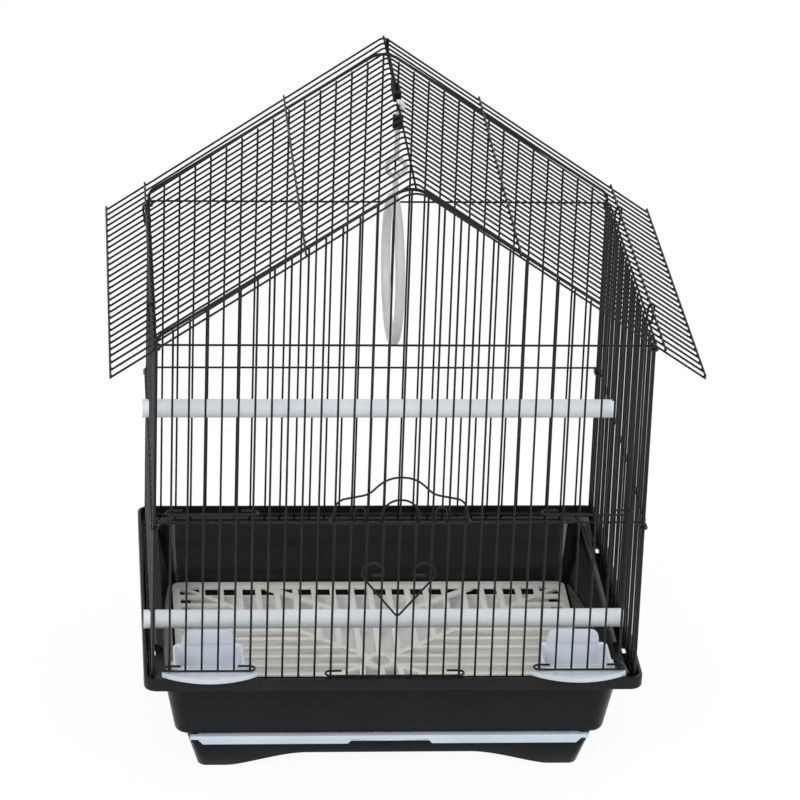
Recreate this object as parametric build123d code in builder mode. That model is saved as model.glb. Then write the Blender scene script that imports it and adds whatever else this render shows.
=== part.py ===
from build123d import *
from math import asin, atan2, cos, degrees, hypot, pi, radians, sin, sqrt, tan
import os

# A wire house cage for small birds: a moulded base with a tray, a lift-off wire top with doors,
# cups, perches and a swing. Millimetres, +Z up, the front faces -Y, and the floor is at Z = 0.

# Wires
wire_diameter = 1.7
frame_wire_diameter = 2.6
ring_wire_diameter = 1.6
moving_gap = 0.3
shaft_gap = 0.05
link_gap = 0.1

# Stand and tub heights
stand_height = 29.0
tub_depth = 54.3

# Tub rim: a channel with an outer skirt and a ledge that carries the wires
rim_width = 338.0
rim_depth = 276.0
rim_corner = 9.0
rim_height = 9.0
rim_edge_round = 1.0
skirt_thickness = 2.3
ledge_drop = 5.0
ledge_thickness = 2.0

# Tub wall, outside sizes at the ledge and at the foot
tub_mouth_width = 313.2
tub_mouth_depth = 251.2
tub_mouth_corner = 18.0
tub_foot_width = 293.0
tub_foot_depth = 229.0
tub_foot_corner = 9.0
tub_foot_round = 3.5
tub_wall = 2.2
tub_floor_thickness = 2.0
tub_floor_shelf = 6.0

# Latch slots through the ledge, two on each side
latch_slot_width = 2.6
latch_slot_length = 11.0
latch_slot_places = (-86.0, 72.0)

# Floor grille
grille_thickness = 2.4
grille_gap = 0.4
grille_border = 5.4
grille_end_border = 8.0
grille_bar = 4.2
grille_pitch = 13.6
grille_centre = -13.0
grille_ring_outer = 12.0
grille_ring_inner = 6.5
grille_vee_reach = 75.0
grille_vee_depth = 56.0

# Stand: a tapered frame with an arch in each side
stand_side_inset = 7.1
stand_end_inset = 1.5
stand_side_lean = 8.4
stand_end_lean = 8.0
stand_corner = 6.0
stand_wall = 2.6
arch_height = 11.5
foot_width = 10.0
foot_depth = 9.0
front_shoulder = 65.5
side_shoulder = 56.0
arch_run_out = 0.8
runner_width = 5.5
runner_thickness = 2.0

# Pull-out tray
tray_front_inset = 2.6
tray_front_thickness = 3.6
tray_front_overhang = 2.0
tray_drop = 0.3
tray_lip_height = 2.6
tray_height = 6.2
tray_pan_side_gap = 8.4
tray_pan_rear_gap = 12.8
tray_wall = 1.6
tray_lobe_inset = 5.2
tray_lobe_inner = 25.5
tray_lobe_slant = 3.5
tray_grip_height = 4.0
tray_side_play = 1.0

# Wire walls
panel_width = 326.0
panel_depth = 264.0
front_gap_count = 30
side_span = 252.8
side_gap_count = 24
mid_height = 113.0
eave_height = 241.0
front_wire_overhang = 1.4

# Roof
roof_slope = 34.1
roof_lift = 10.6
roof_half_width = 193.5
ridge_bend = 9.0
eave_bend = 8.0
roof_front_row_count = 3
roof_front_pitch = 11.6
roof_rear_row_count = 26
roof_middle_wire = 68.0
roof_eave_reach = 2.0
roof_tip_inset = 1.5
long_wire_overhang = 1.6

# Rings that tie the panels and the roof
corner_ring_heights = (110.0, 235.0)
roof_ring_gap_index = 3
roof_ring_inside = 3.6

# Doors
main_door_index = (11, 19)
cup_door_index = (1, 6)
main_door_bottom = 1.5
main_door_top = 115.1
cup_door_bottom = 5.5
cup_door_top = 121.0
hook_reach = 3.7
hook_leg = 9.0
hook_rear_gap = 1.05

# Crown and heart on the main door
crown_leg_gap = 0.1
crown_shoulder = (43.0, 131.0)
crown_valley = (21.5, 135.3)
crown_top = (9.5, 147.7)
crown_bends = (8.5, 14.0, 20.0)
inner_arch_height = 131.3
hump_height = 126.0
heart_tip = 45.8
heart_tip_bend = 2.0
heart_lobe_x = 17.25
heart_lobe_height = 78.4
heart_lobe_radius = 7.2
heart_curl_radius = 1.7
heart_tail = 6.0

# Cups
cup_offset = 125.0
cup_flange_width = 64.0
cup_flange_bulge = 145.0
cup_flange_end = 134.6
cup_flange_thickness = 3.2
cup_neck_width = 50.5
cup_side_play = 3.55
cup_front_play = 1.1
cup_body_length = 28.0
cup_body_height = 4.6
cup_body_depth = 24.0
cup_body_taper = 4.0
cup_corner = 5.5
cup_wall = 1.5
cup_guard_inset = 6.2
cup_guard_height = 14.0
cup_guard_corner = 6.0

# Perches
perch_diameter = 12.0
perch_length = 336.0
perch_slot_play = 0.4
perch_end_round = 1.0
lower_perch_index = 6
lower_perch_height = 8.2
upper_perch_index = 16

# Swing
swing_hook_wire = 3.6
swing_hook_bend = 3.0
swing_stem_top = 356.2
swing_mouth_angle = 205.0
swing_eye_radius = 6.25
swing_eye_section = 3.2
swing_eye_height = 318.0
collar_diameter = 7.2
collar_bottom = 346.0
collar_height = 9.5
hoop_radius = 50.2
hoop_section = 6.5
hoop_height = 243.0
hoop_eye_inside = 2.6
hoop_eye_section = 2.4
hoop_neck_diameter = 4.2
hoop_turn = 2.2
swing_gap_index = 11

# Hanger
hanger_saddle_width = 5.2
hanger_saddle_front = 4.0
hanger_saddle_rear = 33.0
hanger_saddle_height = 6.6
hanger_ear = 1.25
hanger_web = 0.5
hanger_wire = 2.4
hanger_eye_diameter = 4.0
hanger_pin_diameter = 1.4
hanger_pin_place = 9.5
hanger_reach = 100.8
hanger_crook_radius = 3.6
hanger_tip = 2.8

# Levels and planes that follow from the sizes
rim_top = stand_height + tub_depth
ledge_top = rim_top - ledge_drop
wire_radius = wire_diameter / 2
frame_radius = frame_wire_diameter / 2
wire_foot = ledge_top + moving_gap
mid_level = rim_top + mid_height
eave_level = rim_top + eave_height
rise = tan(radians(roof_slope))
slope_cos = cos(radians(roof_slope))
slope_sin = sin(radians(roof_slope))
gable_apex = eave_level + panel_width / 2 * rise
roof_apex = gable_apex + roof_lift
roof_top = roof_apex - ridge_bend / slope_cos + ridge_bend
ridge_level = roof_top + wire_diameter

upright_y = panel_depth / 2
cross_y = upright_y - wire_diameter
frame_y = cross_y + wire_radius + frame_radius
side_x = panel_width / 2
rail_x = side_x + wire_diameter
door_y = upright_y + wire_diameter + moving_gap
door_cross_y = door_y + wire_diameter
hook_rear_y = cross_y - wire_diameter - hook_rear_gap + wire_radius

stand_top_width = tub_foot_width - 2 * stand_side_inset
stand_top_depth = tub_foot_depth - 2 * stand_end_inset
stand_foot_width = stand_top_width - 2 * stand_side_lean
stand_foot_depth = stand_top_depth - 2 * stand_end_lean
arch_foot_width = stand_foot_width - 2 * foot_width
arch_flat_width = arch_foot_width - 2 * front_shoulder
side_arch_foot_depth = stand_foot_depth - 2 * foot_depth
side_arch_flat_depth = side_arch_foot_depth - 2 * side_shoulder
tray_front_width = stand_top_width - 2 * tray_front_inset
tray_pan_width = stand_top_width - 2 * tray_pan_side_gap
tray_lobe_outer = tray_front_width / 2 - tray_lobe_inset
tray_face = tub_foot_depth / 2 + tray_front_overhang
tray_pan_front = -tray_face + tray_front_thickness
tray_pan_depth = stand_top_depth / 2 - tray_pan_rear_gap - tray_pan_front

cup_seat = rim_top + moving_gap
cup_top = cup_seat + cup_body_height
cup_bottom = cup_seat - cup_body_depth
wall_share = (cup_bottom - stand_height) / (ledge_top - stand_height)
tub_half_width = (tub_foot_width + (tub_mouth_width - tub_foot_width) * wall_share) / 2 - tub_wall
tub_half_depth = (tub_foot_depth + (tub_mouth_depth - tub_foot_depth) * wall_share) / 2 - tub_wall
cup_body_width = 2 * (tub_half_width - cup_side_play + cup_body_taper / 2 - cup_offset)
cup_body_front = tub_half_depth - cup_front_play + cup_body_taper / 2
cup_body_rear = cup_body_front - cup_body_length
cup_guard_width = cup_body_width - 2 * cup_guard_inset

os.makedirs("parts", exist_ok=True)


def front_wire_x(index):
    """Place of an upright in the front or rear wall, counted from the left post."""
    return -side_x + index * panel_width / front_gap_count


def side_wire_y(index):
    """Place of an upright in a side wall, counted from the front."""
    return -side_span / 2 + index * side_span / side_gap_count


def roof_line(x, apex):
    """Height of a sloping wire's middle at a place across the cage."""
    bend_edge = ridge_bend * slope_sin
    if abs(x) < bend_edge:
        return apex - ridge_bend / slope_cos + sqrt(ridge_bend**2 - x**2)
    return apex - abs(x) * rise


def under_gable(x):
    """Height at which an upright's end meets the gable wire from below."""
    edge = abs(x) + wire_radius
    inner_bend = ridge_bend - frame_radius
    if edge < inner_bend * slope_sin:
        return gable_apex - ridge_bend / slope_cos + sqrt(inner_bend**2 - edge**2)
    return gable_apex - edge * rise - frame_radius / slope_cos


def add_wire(start, end, diameter=wire_diameter):
    """Add one straight round wire to the piece being built."""
    run = Vector(*end) - Vector(*start)
    with BuildSketch(Plane(origin=start, z_dir=run)) as section:
        Circle(diameter / 2)
    extrude(section.sketch, amount=run.length)


def add_bent_wire(path, diameter=wire_diameter):
    """Sweep a round wire along a path of tangent lines and arcs."""
    route = path.wire()
    with BuildSketch(Plane(origin=route @ 0, z_dir=route % 0)) as section:
        Circle(diameter / 2)
    sweep(section.sketch, path=route)


def export_piece(part, name):
    """Name a finished piece and write its STEP file."""
    part.label = name
    export_step(part, f"parts/{name}.step")


# Base tub
with BuildPart() as base_tub:
    with BuildSketch(Plane.XY.offset(rim_top - rim_height)):
        RectangleRounded(rim_width, rim_depth, rim_corner)
    extrude(amount=rim_height)
    fillet(base_tub.faces().sort_by(Axis.Z)[-1].edges(), rim_edge_round)
    fillet(base_tub.faces().sort_by(Axis.Z)[0].edges(), rim_edge_round)
    with BuildSketch(Plane.XY.offset(ledge_top)):
        RectangleRounded(
            rim_width - 2 * skirt_thickness,
            rim_depth - 2 * skirt_thickness,
            rim_corner - skirt_thickness,
        )
    extrude(amount=ledge_drop, mode=Mode.SUBTRACT)
    with BuildSketch(Plane.XY.offset(rim_top - rim_height)):
        RectangleRounded(
            rim_width - 2 * skirt_thickness,
            rim_depth - 2 * skirt_thickness,
            rim_corner - skirt_thickness,
        )
    extrude(amount=rim_height - ledge_drop - ledge_thickness, mode=Mode.SUBTRACT)

    with BuildPart(mode=Mode.PRIVATE) as tub_outside:
        with BuildSketch(Plane.XY.offset(stand_height)):
            RectangleRounded(tub_foot_width, tub_foot_depth, tub_foot_corner)
        with BuildSketch(Plane.XY.offset(ledge_top)):
            RectangleRounded(tub_mouth_width, tub_mouth_depth, tub_mouth_corner)
        loft()
        fillet(tub_outside.faces().sort_by(Axis.Z)[0].edges(), tub_foot_round)
    add(tub_outside.part)

    with BuildPart(mode=Mode.PRIVATE) as tub_inside:
        with BuildSketch(Plane.XY.offset(stand_height + tub_floor_thickness)):
            RectangleRounded(
                tub_foot_width - 2 * tub_wall,
                tub_foot_depth - 2 * tub_wall,
                tub_foot_corner - tub_wall,
            )
        with BuildSketch(Plane.XY.offset(ledge_top)):
            RectangleRounded(
                tub_mouth_width - 2 * tub_wall,
                tub_mouth_depth - 2 * tub_wall,
                tub_mouth_corner - tub_wall,
            )
        loft()
    add(tub_inside.part, mode=Mode.SUBTRACT)

    with BuildSketch(Plane.XY.offset(stand_height)):
        RectangleRounded(
            tub_foot_width - 2 * (tub_wall + tub_floor_shelf),
            tub_foot_depth - 2 * (tub_wall + tub_floor_shelf),
            tub_foot_corner,
        )
    extrude(amount=tub_floor_thickness, mode=Mode.SUBTRACT)

    with BuildSketch(Plane.XY.offset(ledge_top)):
        for side in (-1, 1):
            ledge_middle = (rim_width / 2 - skirt_thickness + tub_mouth_width / 2) / 2
            with Locations(*[(side * ledge_middle, place) for place in latch_slot_places]):
                Rectangle(latch_slot_width, latch_slot_length)
    extrude(amount=-ledge_thickness, mode=Mode.SUBTRACT)
export_piece(base_tub.part, "base_tub")

# Floor grille, cut to the tub's inside at the height where it lies
grille_bottom = stand_height + tub_floor_thickness
grille_half_width = tub_foot_width / 2 - tub_wall - grille_gap
grille_half_depth = tub_foot_depth / 2 - tub_wall - grille_gap
grid_half_width = grille_half_width - grille_border
grid_half_depth = grille_half_depth - grille_end_border
rear_reach = grid_half_depth - grille_centre
front_reach = grid_half_depth + grille_centre


def add_bar(start, end):
    """Add a flat bar between two points of the grille sketch."""
    middle = ((start[0] + end[0]) / 2, (start[1] + end[1]) / 2)
    length = hypot(end[0] - start[0], end[1] - start[1])
    angle = degrees(atan2(end[1] - start[1], end[0] - start[0]))
    with Locations(middle):
        Rectangle(length, grille_bar, rotation=angle)


with BuildPart() as floor_grille:
    with BuildSketch(Plane.XY.offset(grille_bottom)):
        RectangleRounded(2 * grille_half_width, 2 * grille_half_depth, tub_foot_corner - tub_wall)
        Rectangle(2 * grid_half_width, 2 * grid_half_depth, mode=Mode.SUBTRACT)
        for side in (-1, 1):
            add_bar((0, grille_centre), (side * grid_half_width, grid_half_depth))
            add_bar((0, grille_centre), (side * grid_half_width, -grid_half_depth))
            add_bar((0, grid_half_depth - grille_vee_depth), (side * grille_vee_reach, grid_half_depth))
            add_bar((0, -grid_half_depth + front_reach / 2), (side * grille_vee_reach, -grid_half_depth))
        column_count = int(grid_half_width / grille_pitch)
        for column in range(-column_count, column_count + 1):
            x = column * grille_pitch
            share = abs(x) / grid_half_width
            add_bar((x, grille_centre + rear_reach * share), (x, grid_half_depth))
            add_bar((x, grille_centre - front_reach * share), (x, -grid_half_depth))
        for side in (-1, 1):
            for reach, direction in ((rear_reach, 1), (front_reach, -1)):
                row_count = int(reach / grille_pitch - 0.5)
                for row in range(row_count + 1):
                    offset_y = (row + 0.5) * grille_pitch
                    inner_x = grid_half_width * offset_y / reach
                    y = grille_centre + direction * offset_y
                    add_bar((side * inner_x, y), (side * grid_half_width, y))
        with Locations((0, grille_centre)):
            Circle(grille_ring_outer)
            Circle(grille_ring_inner, mode=Mode.SUBTRACT)
    extrude(amount=grille_thickness)
export_piece(floor_grille.part, "floor_grille")

# Stand
tray_top = stand_height - tray_drop
tray_bottom = tray_top - tray_height
runner_top = tray_bottom - moving_gap


def add_arch(plane, flat_width, foot_width, reach):
    """Cut an arch with eased shoulders, which run out just below the floor, through the stand."""
    with BuildSketch(plane) as opening:
        with BuildLine():
            half_flat = flat_width / 2
            half_foot = foot_width / 2
            middle = (half_flat + half_foot) / 2
            turn_level = (arch_height - arch_run_out) / 2
            for side in (-1, 1):
                turn_point = (side * middle, turn_level)
                shoulder = TangentArc((side * half_flat, arch_height), turn_point, tangent=(side, 0))
                TangentArc(turn_point, (side * half_foot, -arch_run_out), tangent=shoulder % 1)
            Line((-half_flat, arch_height), (half_flat, arch_height))
            Line((-half_foot, -arch_run_out), (half_foot, -arch_run_out))
        make_face()
    extrude(opening.sketch, amount=reach, both=True, mode=Mode.SUBTRACT)


def stand_half_width(level):
    """Outside half width of the stand at a height."""
    return (stand_foot_width + (stand_top_width - stand_foot_width) * level / stand_height) / 2


def stand_half_depth(level):
    """Outside half depth of the stand at a height."""
    return (stand_foot_depth + (stand_top_depth - stand_foot_depth) * level / stand_height) / 2


with BuildPart() as base_stand:
    with BuildSketch(Plane.XY):
        RectangleRounded(stand_foot_width, stand_foot_depth, stand_corner)
    with BuildSketch(Plane.XY.offset(stand_height)):
        RectangleRounded(stand_top_width, stand_top_depth, stand_corner)
    loft()
    with BuildPart(mode=Mode.PRIVATE) as stand_inside:
        with BuildSketch(Plane.XY):
            RectangleRounded(
                stand_foot_width - 2 * stand_wall,
                stand_foot_depth - 2 * stand_wall,
                stand_corner - stand_wall,
            )
        with BuildSketch(Plane.XY.offset(stand_height)):
            RectangleRounded(
                stand_top_width - 2 * stand_wall,
                stand_top_depth - 2 * stand_wall,
                stand_corner - stand_wall,
            )
        loft()
    add(stand_inside.part, mode=Mode.SUBTRACT)
    add_arch(Plane.XZ, arch_flat_width, arch_foot_width, stand_top_depth)
    add_arch(Plane.YZ, side_arch_flat_depth, side_arch_foot_depth, stand_top_width)

    # Runners along both sides carry the tray
    runner_half = stand_half_width(runner_top) - stand_wall
    runner_reach = stand_half_depth(runner_top - runner_thickness) - stand_wall / 2
    for side in (-1, 1):
        with BuildSketch(Plane.XY.offset(runner_top - runner_thickness)):
            with Locations((side * (runner_half - runner_width / 2 + stand_wall / 4), 0)):
                Rectangle(runner_width + stand_wall / 2, 2 * runner_reach)
        extrude(amount=runner_thickness)

    # The front is open above the runners, so that the tray slides out
    with BuildSketch(Plane.XY.offset(runner_top)):
        with Locations((0, -stand_top_depth / 2)):
            Rectangle(tray_pan_width + 2 * tray_side_play, stand_corner + 4 * stand_wall)
    extrude(amount=stand_height, mode=Mode.SUBTRACT)
export_piece(base_stand.part, "base_stand")

# Pull-out tray
with BuildPart() as pull_out_tray:
    with BuildSketch(Plane.XZ.offset(tray_face - tray_front_thickness)):
        half_strip = tray_front_width / 2
        lip_level = tray_top - tray_lip_height
        grip_level = tray_top - tray_grip_height
        with BuildLine():
            Line((-half_strip, tray_top), (half_strip, tray_top))
            for side in (-1, 1):
                Line((side * half_strip, tray_top), (side * half_strip, lip_level))
                Line((side * half_strip, lip_level), (side * tray_lobe_outer, lip_level))
                Line((side * tray_lobe_outer, lip_level),
                     (side * (tray_lobe_outer - tray_lobe_slant), tray_bottom))
                Line((side * (tray_lobe_outer - tray_lobe_slant), tray_bottom),
                     (side * (tray_lobe_inner + tray_lobe_slant), tray_bottom))
                Line((side * (tray_lobe_inner + tray_lobe_slant), tray_bottom),
                     (side * tray_lobe_inner, lip_level))
            ThreePointArc((-tray_lobe_inner, lip_level), (0, grip_level), (tray_lobe_inner, lip_level))
        make_face()
    extrude(amount=tray_front_thickness)
    with BuildSketch(Plane.XY.offset(tray_bottom)):
        with Locations((0, tray_pan_front + tray_pan_depth / 2)):
            Rectangle(tray_pan_width, tray_pan_depth)
    extrude(amount=tray_height)
    with BuildSketch(Plane.XY.offset(tray_bottom + tray_wall)):
        with Locations((0, tray_pan_front + tray_pan_depth / 2)):
            RectangleRounded(tray_pan_width - 2 * tray_wall, tray_pan_depth - 2 * tray_wall, stand_wall)
    extrude(amount=tray_height, mode=Mode.SUBTRACT)
export_piece(pull_out_tray.part, "pull_out_tray")


# Corner posts and gables: one thick wire at the front and one at the rear
def gable_frame(face):
    """Bend the thick frame wire of one end wall."""
    with BuildPart() as frame:
        with BuildLine(Plane.XZ.offset(-face * frame_y)) as path:
            FilletPolyline(
                (-side_x, wire_foot),
                (-side_x, eave_level),
                (0, gable_apex),
                (side_x, eave_level),
                (side_x, wire_foot),
                radius=[eave_bend, ridge_bend, eave_bend],
            )
        add_bent_wire(path, frame_wire_diameter)
    return frame.part


for name, face in (("front_frame", -1), ("rear_frame", 1)):
    export_piece(gable_frame(face), name)

# Front and rear wires
cup_pairs = (cup_door_index, (front_gap_count - cup_door_index[1], front_gap_count - cup_door_index[0]))
doorways = (main_door_index,) + cup_pairs


def end_wall(face, openings):
    """Uprights and cross wires of one end wall; wires over a doorway start at the middle wire."""
    with BuildPart() as wall:
        for index in range(1, front_gap_count):
            x = front_wire_x(index)
            in_doorway = any(low < index < high for low, high in openings)
            foot = mid_level - wire_radius if in_doorway else wire_foot
            add_wire((x, face * upright_y, foot), (x, face * upright_y, under_gable(x)))
        reach = side_x + front_wire_overhang
        for level in (wire_foot + wire_radius, mid_level, eave_level):
            add_wire((-reach, face * cross_y, level), (reach, face * cross_y, level))
    return wall.part


for name, face, openings in (("front_panel", -1, doorways), ("rear_panel", 1, ())):
    export_piece(end_wall(face, openings), name)


# Side wires
def side_wall(side):
    """Uprights and rails of one side wall."""
    with BuildPart() as wall:
        for index in range(side_gap_count + 1):
            y = side_wire_y(index)
            add_wire((side * side_x, y, wire_foot), (side * side_x, y, eave_level + wire_radius))
        reach = side_span / 2 + wire_radius
        for level in (wire_foot + wire_radius, mid_level, eave_level):
            add_wire((side * rail_x, -reach, level), (side * rail_x, reach, level))
    return wall.part


for name, side in (("left_panel", -1), ("right_panel", 1)):
    export_piece(side_wall(side), name)

# Roof
roof_rows = [side_wire_y(0) - roof_front_pitch * (roof_front_row_count - row) for row in range(roof_front_row_count)]
roof_rows += [side_wire_y(row) for row in range(roof_rear_row_count)]
roof_long_wires = (roof_middle_wire, side_x + roof_eave_reach, roof_half_width - roof_tip_inset)
long_wire_front = roof_rows[0] - long_wire_overhang
long_wire_rear = roof_rows[-1] + long_wire_overhang


def on_roof(side, x):
    """Middle of a long wire that lies on the sloping wires."""
    return (
        side * (x + wire_diameter * slope_sin),
        roof_apex - x * rise + wire_diameter * slope_cos,
    )


def roof_half(side):
    """One slope of the roof: the run of every chevron wire and the long wires on it."""
    bend_middle = roof_apex - ridge_bend / slope_cos
    bend_edge = (side * ridge_bend * slope_sin, bend_middle + ridge_bend * slope_cos)
    tip = (side * roof_half_width, roof_apex - roof_half_width * rise)
    with BuildPart() as chevron:
        with BuildLine(Plane.XZ) as path:
            Line(tip, bend_edge)
            half_turn = radians(roof_slope / 2)
            arc_middle = (side * ridge_bend * sin(half_turn), bend_middle + ridge_bend * cos(half_turn))
            ThreePointArc(bend_edge, arc_middle, (0, bend_middle + ridge_bend))
        add_bent_wire(path)
    with BuildPart() as half:
        with Locations(*[(0, row, 0) for row in roof_rows]):
            add(chevron.part)
        for place in roof_long_wires:
            x, level = on_roof(side, place)
            add_wire((x, long_wire_front, level), (x, long_wire_rear, level))
    return half.part


for name, side in (("roof_left", -1), ("roof_right", 1)):
    export_piece(roof_half(side), name)

with BuildPart() as ridge_wire:
    add_wire((0, long_wire_front, ridge_level), (0, long_wire_rear, ridge_level))
export_piece(ridge_wire.part, "ridge_wire")


def add_ring(centre, across, along, half_length, radius):
    """Add a closed oval ring of thin wire: two straight sides and two half turns."""
    plane = Plane(origin=centre, x_dir=across, z_dir=Vector(*across).cross(Vector(*along)))
    with BuildLine(plane) as oval:
        Line((radius, -half_length), (radius, half_length))
        ThreePointArc((radius, half_length), (0, half_length + radius), (-radius, half_length))
        Line((-radius, half_length), (-radius, -half_length))
        ThreePointArc((-radius, -half_length), (0, -half_length - radius), (radius, -half_length))
    add_bent_wire(oval, ring_wire_diameter)


# Rings that hold the roof to the side rails
ring_radius = ring_wire_diameter / 2
roof_ring_y = (side_wire_y(roof_ring_gap_index) + side_wire_y(roof_ring_gap_index + 1)) / 2
with BuildPart() as roof_clips:
    wall_wire_x, wall_wire_level = on_roof(1, roof_long_wires[1])
    ring_x = (rail_x + wall_wire_x) / 2
    seat = sqrt((roof_ring_inside - wire_radius - shaft_gap) ** 2 - (wall_wire_x - ring_x) ** 2)
    ring_low = eave_level + seat
    ring_high = wall_wire_level - seat
    for side in (-1, 1):
        for end in (-1, 1):
            add_ring(
                (side * ring_x, end * roof_ring_y, (ring_low + ring_high) / 2),
                (1, 0, 0),
                (0, 0, 1),
                (ring_high - ring_low) / 2,
                roof_ring_inside + ring_radius,
            )
export_piece(roof_clips.part, "roof_clips")

# Rings that tie the corner posts to the side panels
with BuildPart() as corner_clips:
    tie_radius = frame_radius + shaft_gap + ring_radius
    side_end_y = side_wire_y(side_gap_count)
    for side in (-1, 1):
        for end in (-1, 1):
            for height in corner_ring_heights:
                add_ring(
                    (side * side_x, end * (frame_y + side_end_y) / 2, rim_top + height),
                    (1, 0, 0),
                    (0, 1, 0),
                    (frame_y - side_end_y) / 2,
                    tie_radius,
                )
export_piece(corner_clips.part, "corner_clips")


# Doors
def add_hooked_wire(left_x, right_x, level):
    """A door's cross wire, bent back round the guide wire at both ends."""
    hook_turn = (door_cross_y - hook_rear_y) / 2
    with BuildLine(Plane.XY.offset(level)) as path:
        FilletPolyline(
            (left_x + hook_leg, -hook_rear_y),
            (left_x - hook_reach, -hook_rear_y),
            (left_x - hook_reach, -door_cross_y),
            (right_x + hook_reach, -door_cross_y),
            (right_x + hook_reach, -hook_rear_y),
            (right_x - hook_leg, -hook_rear_y),
            radius=0.99 * hook_turn,
        )
    add_bent_wire(path)


def lift_door(first, last, bottom, top):
    """A lift-up door between two guide wires of the front wall."""
    with BuildPart() as door:
        for level in (bottom, top):
            add_hooked_wire(front_wire_x(first), front_wire_x(last), rim_top + level)
        for index in range(first, last + 1):
            x = front_wire_x(index)
            foot = rim_top + bottom - wire_radius
            head = rim_top + top + wire_radius
            add_wire((x, -door_y, foot), (x, -door_y, head))
    return door.part


export_piece(lift_door(*main_door_index, main_door_bottom, main_door_top), "main_door")
for name, pair in (("left_cup_door", cup_pairs[0]), ("right_cup_door", cup_pairs[1])):
    export_piece(lift_door(*pair, cup_door_bottom, cup_door_top), name)

# Crown and heart
leg_foot = main_door_top - wire_radius
crown_foot = main_door_top + wire_radius
door_edge_x = front_wire_x(main_door_index[1])
beside = wire_diameter + crown_leg_gap


def door_path(points, bends):
    """Bend a wire in the door's plane through points given above the rim."""
    with BuildLine(Plane.XZ.offset(door_y)) as path:
        FilletPolyline(*[(x, rim_top + height) for x, height in points], radius=bends)
    return path


with BuildPart() as door_scrollwork:
    crown_half = [(door_edge_x + beside, crown_foot), crown_shoulder, crown_valley, crown_top]
    crown = crown_half + [(-x, height) for x, height in reversed(crown_half)]
    add_bent_wire(door_path(crown, list(crown_bends) + list(reversed(crown_bends))))
    inner_x = front_wire_x(front_gap_count // 2 + 1) + beside
    inner_arch = [(inner_x, leg_foot), (inner_x, inner_arch_height)]
    inner_arch += [(-x, height) for x, height in reversed(inner_arch)]
    add_bent_wire(door_path(inner_arch, inner_x - beside / 4))
    for side in (-1, 1):
        hump_inner = side * (front_wire_x(front_gap_count // 2 + 2) + beside)
        hump_outer = side * (front_wire_x(front_gap_count // 2 + 3) - beside)
        hump = [(hump_inner, leg_foot), (hump_inner, hump_height)]
        hump += [(hump_outer, hump_height), (hump_outer, leg_foot)]
        add_bent_wire(door_path(hump, 0.48 * abs(hump_outer - hump_inner)))

    # Heart: each half runs from the tip, round its lobe and in to a short tail
    lobe_up = heart_lobe_height - heart_tip
    lobe_distance = hypot(heart_lobe_x, lobe_up)
    lean = atan2(lobe_up, heart_lobe_x) - asin(heart_lobe_radius / lobe_distance)
    lobe_centre = (heart_lobe_x, rim_top + heart_lobe_height)
    lobe_start = (
        lobe_centre[0] + heart_lobe_radius * sin(lean),
        lobe_centre[1] - heart_lobe_radius * cos(lean),
    )
    curl_x = heart_lobe_x - heart_lobe_radius + heart_curl_radius
    with BuildLine(Plane.XZ.offset(door_cross_y)) as heart:
        FilletPolyline(
            (-lobe_start[0], lobe_start[1]),
            (0, rim_top + heart_tip),
            lobe_start,
            radius=heart_tip_bend,
        )
        for side in (-1, 1):
            middle_angle = (pi + lean - pi / 2) / 2
            inner_side = (side * (heart_lobe_x - heart_lobe_radius), lobe_centre[1])
            ThreePointArc(
                (side * lobe_start[0], lobe_start[1]),
                (
                    side * (heart_lobe_x + heart_lobe_radius * cos(middle_angle)),
                    lobe_centre[1] + heart_lobe_radius * sin(middle_angle),
                ),
                inner_side,
            )
            curl_corner = heart_curl_radius * cos(pi / 4)
            ThreePointArc(
                inner_side,
                (side * (curl_x - curl_corner), lobe_centre[1] - curl_corner),
                (side * curl_x, lobe_centre[1] - heart_curl_radius),
            )
            Line(
                (side * curl_x, lobe_centre[1] - heart_curl_radius),
                (side * (curl_x + heart_tail), lobe_centre[1] - heart_curl_radius),
            )
    add_bent_wire(heart)
export_piece(door_scrollwork.part, "door_scrollwork")

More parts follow.
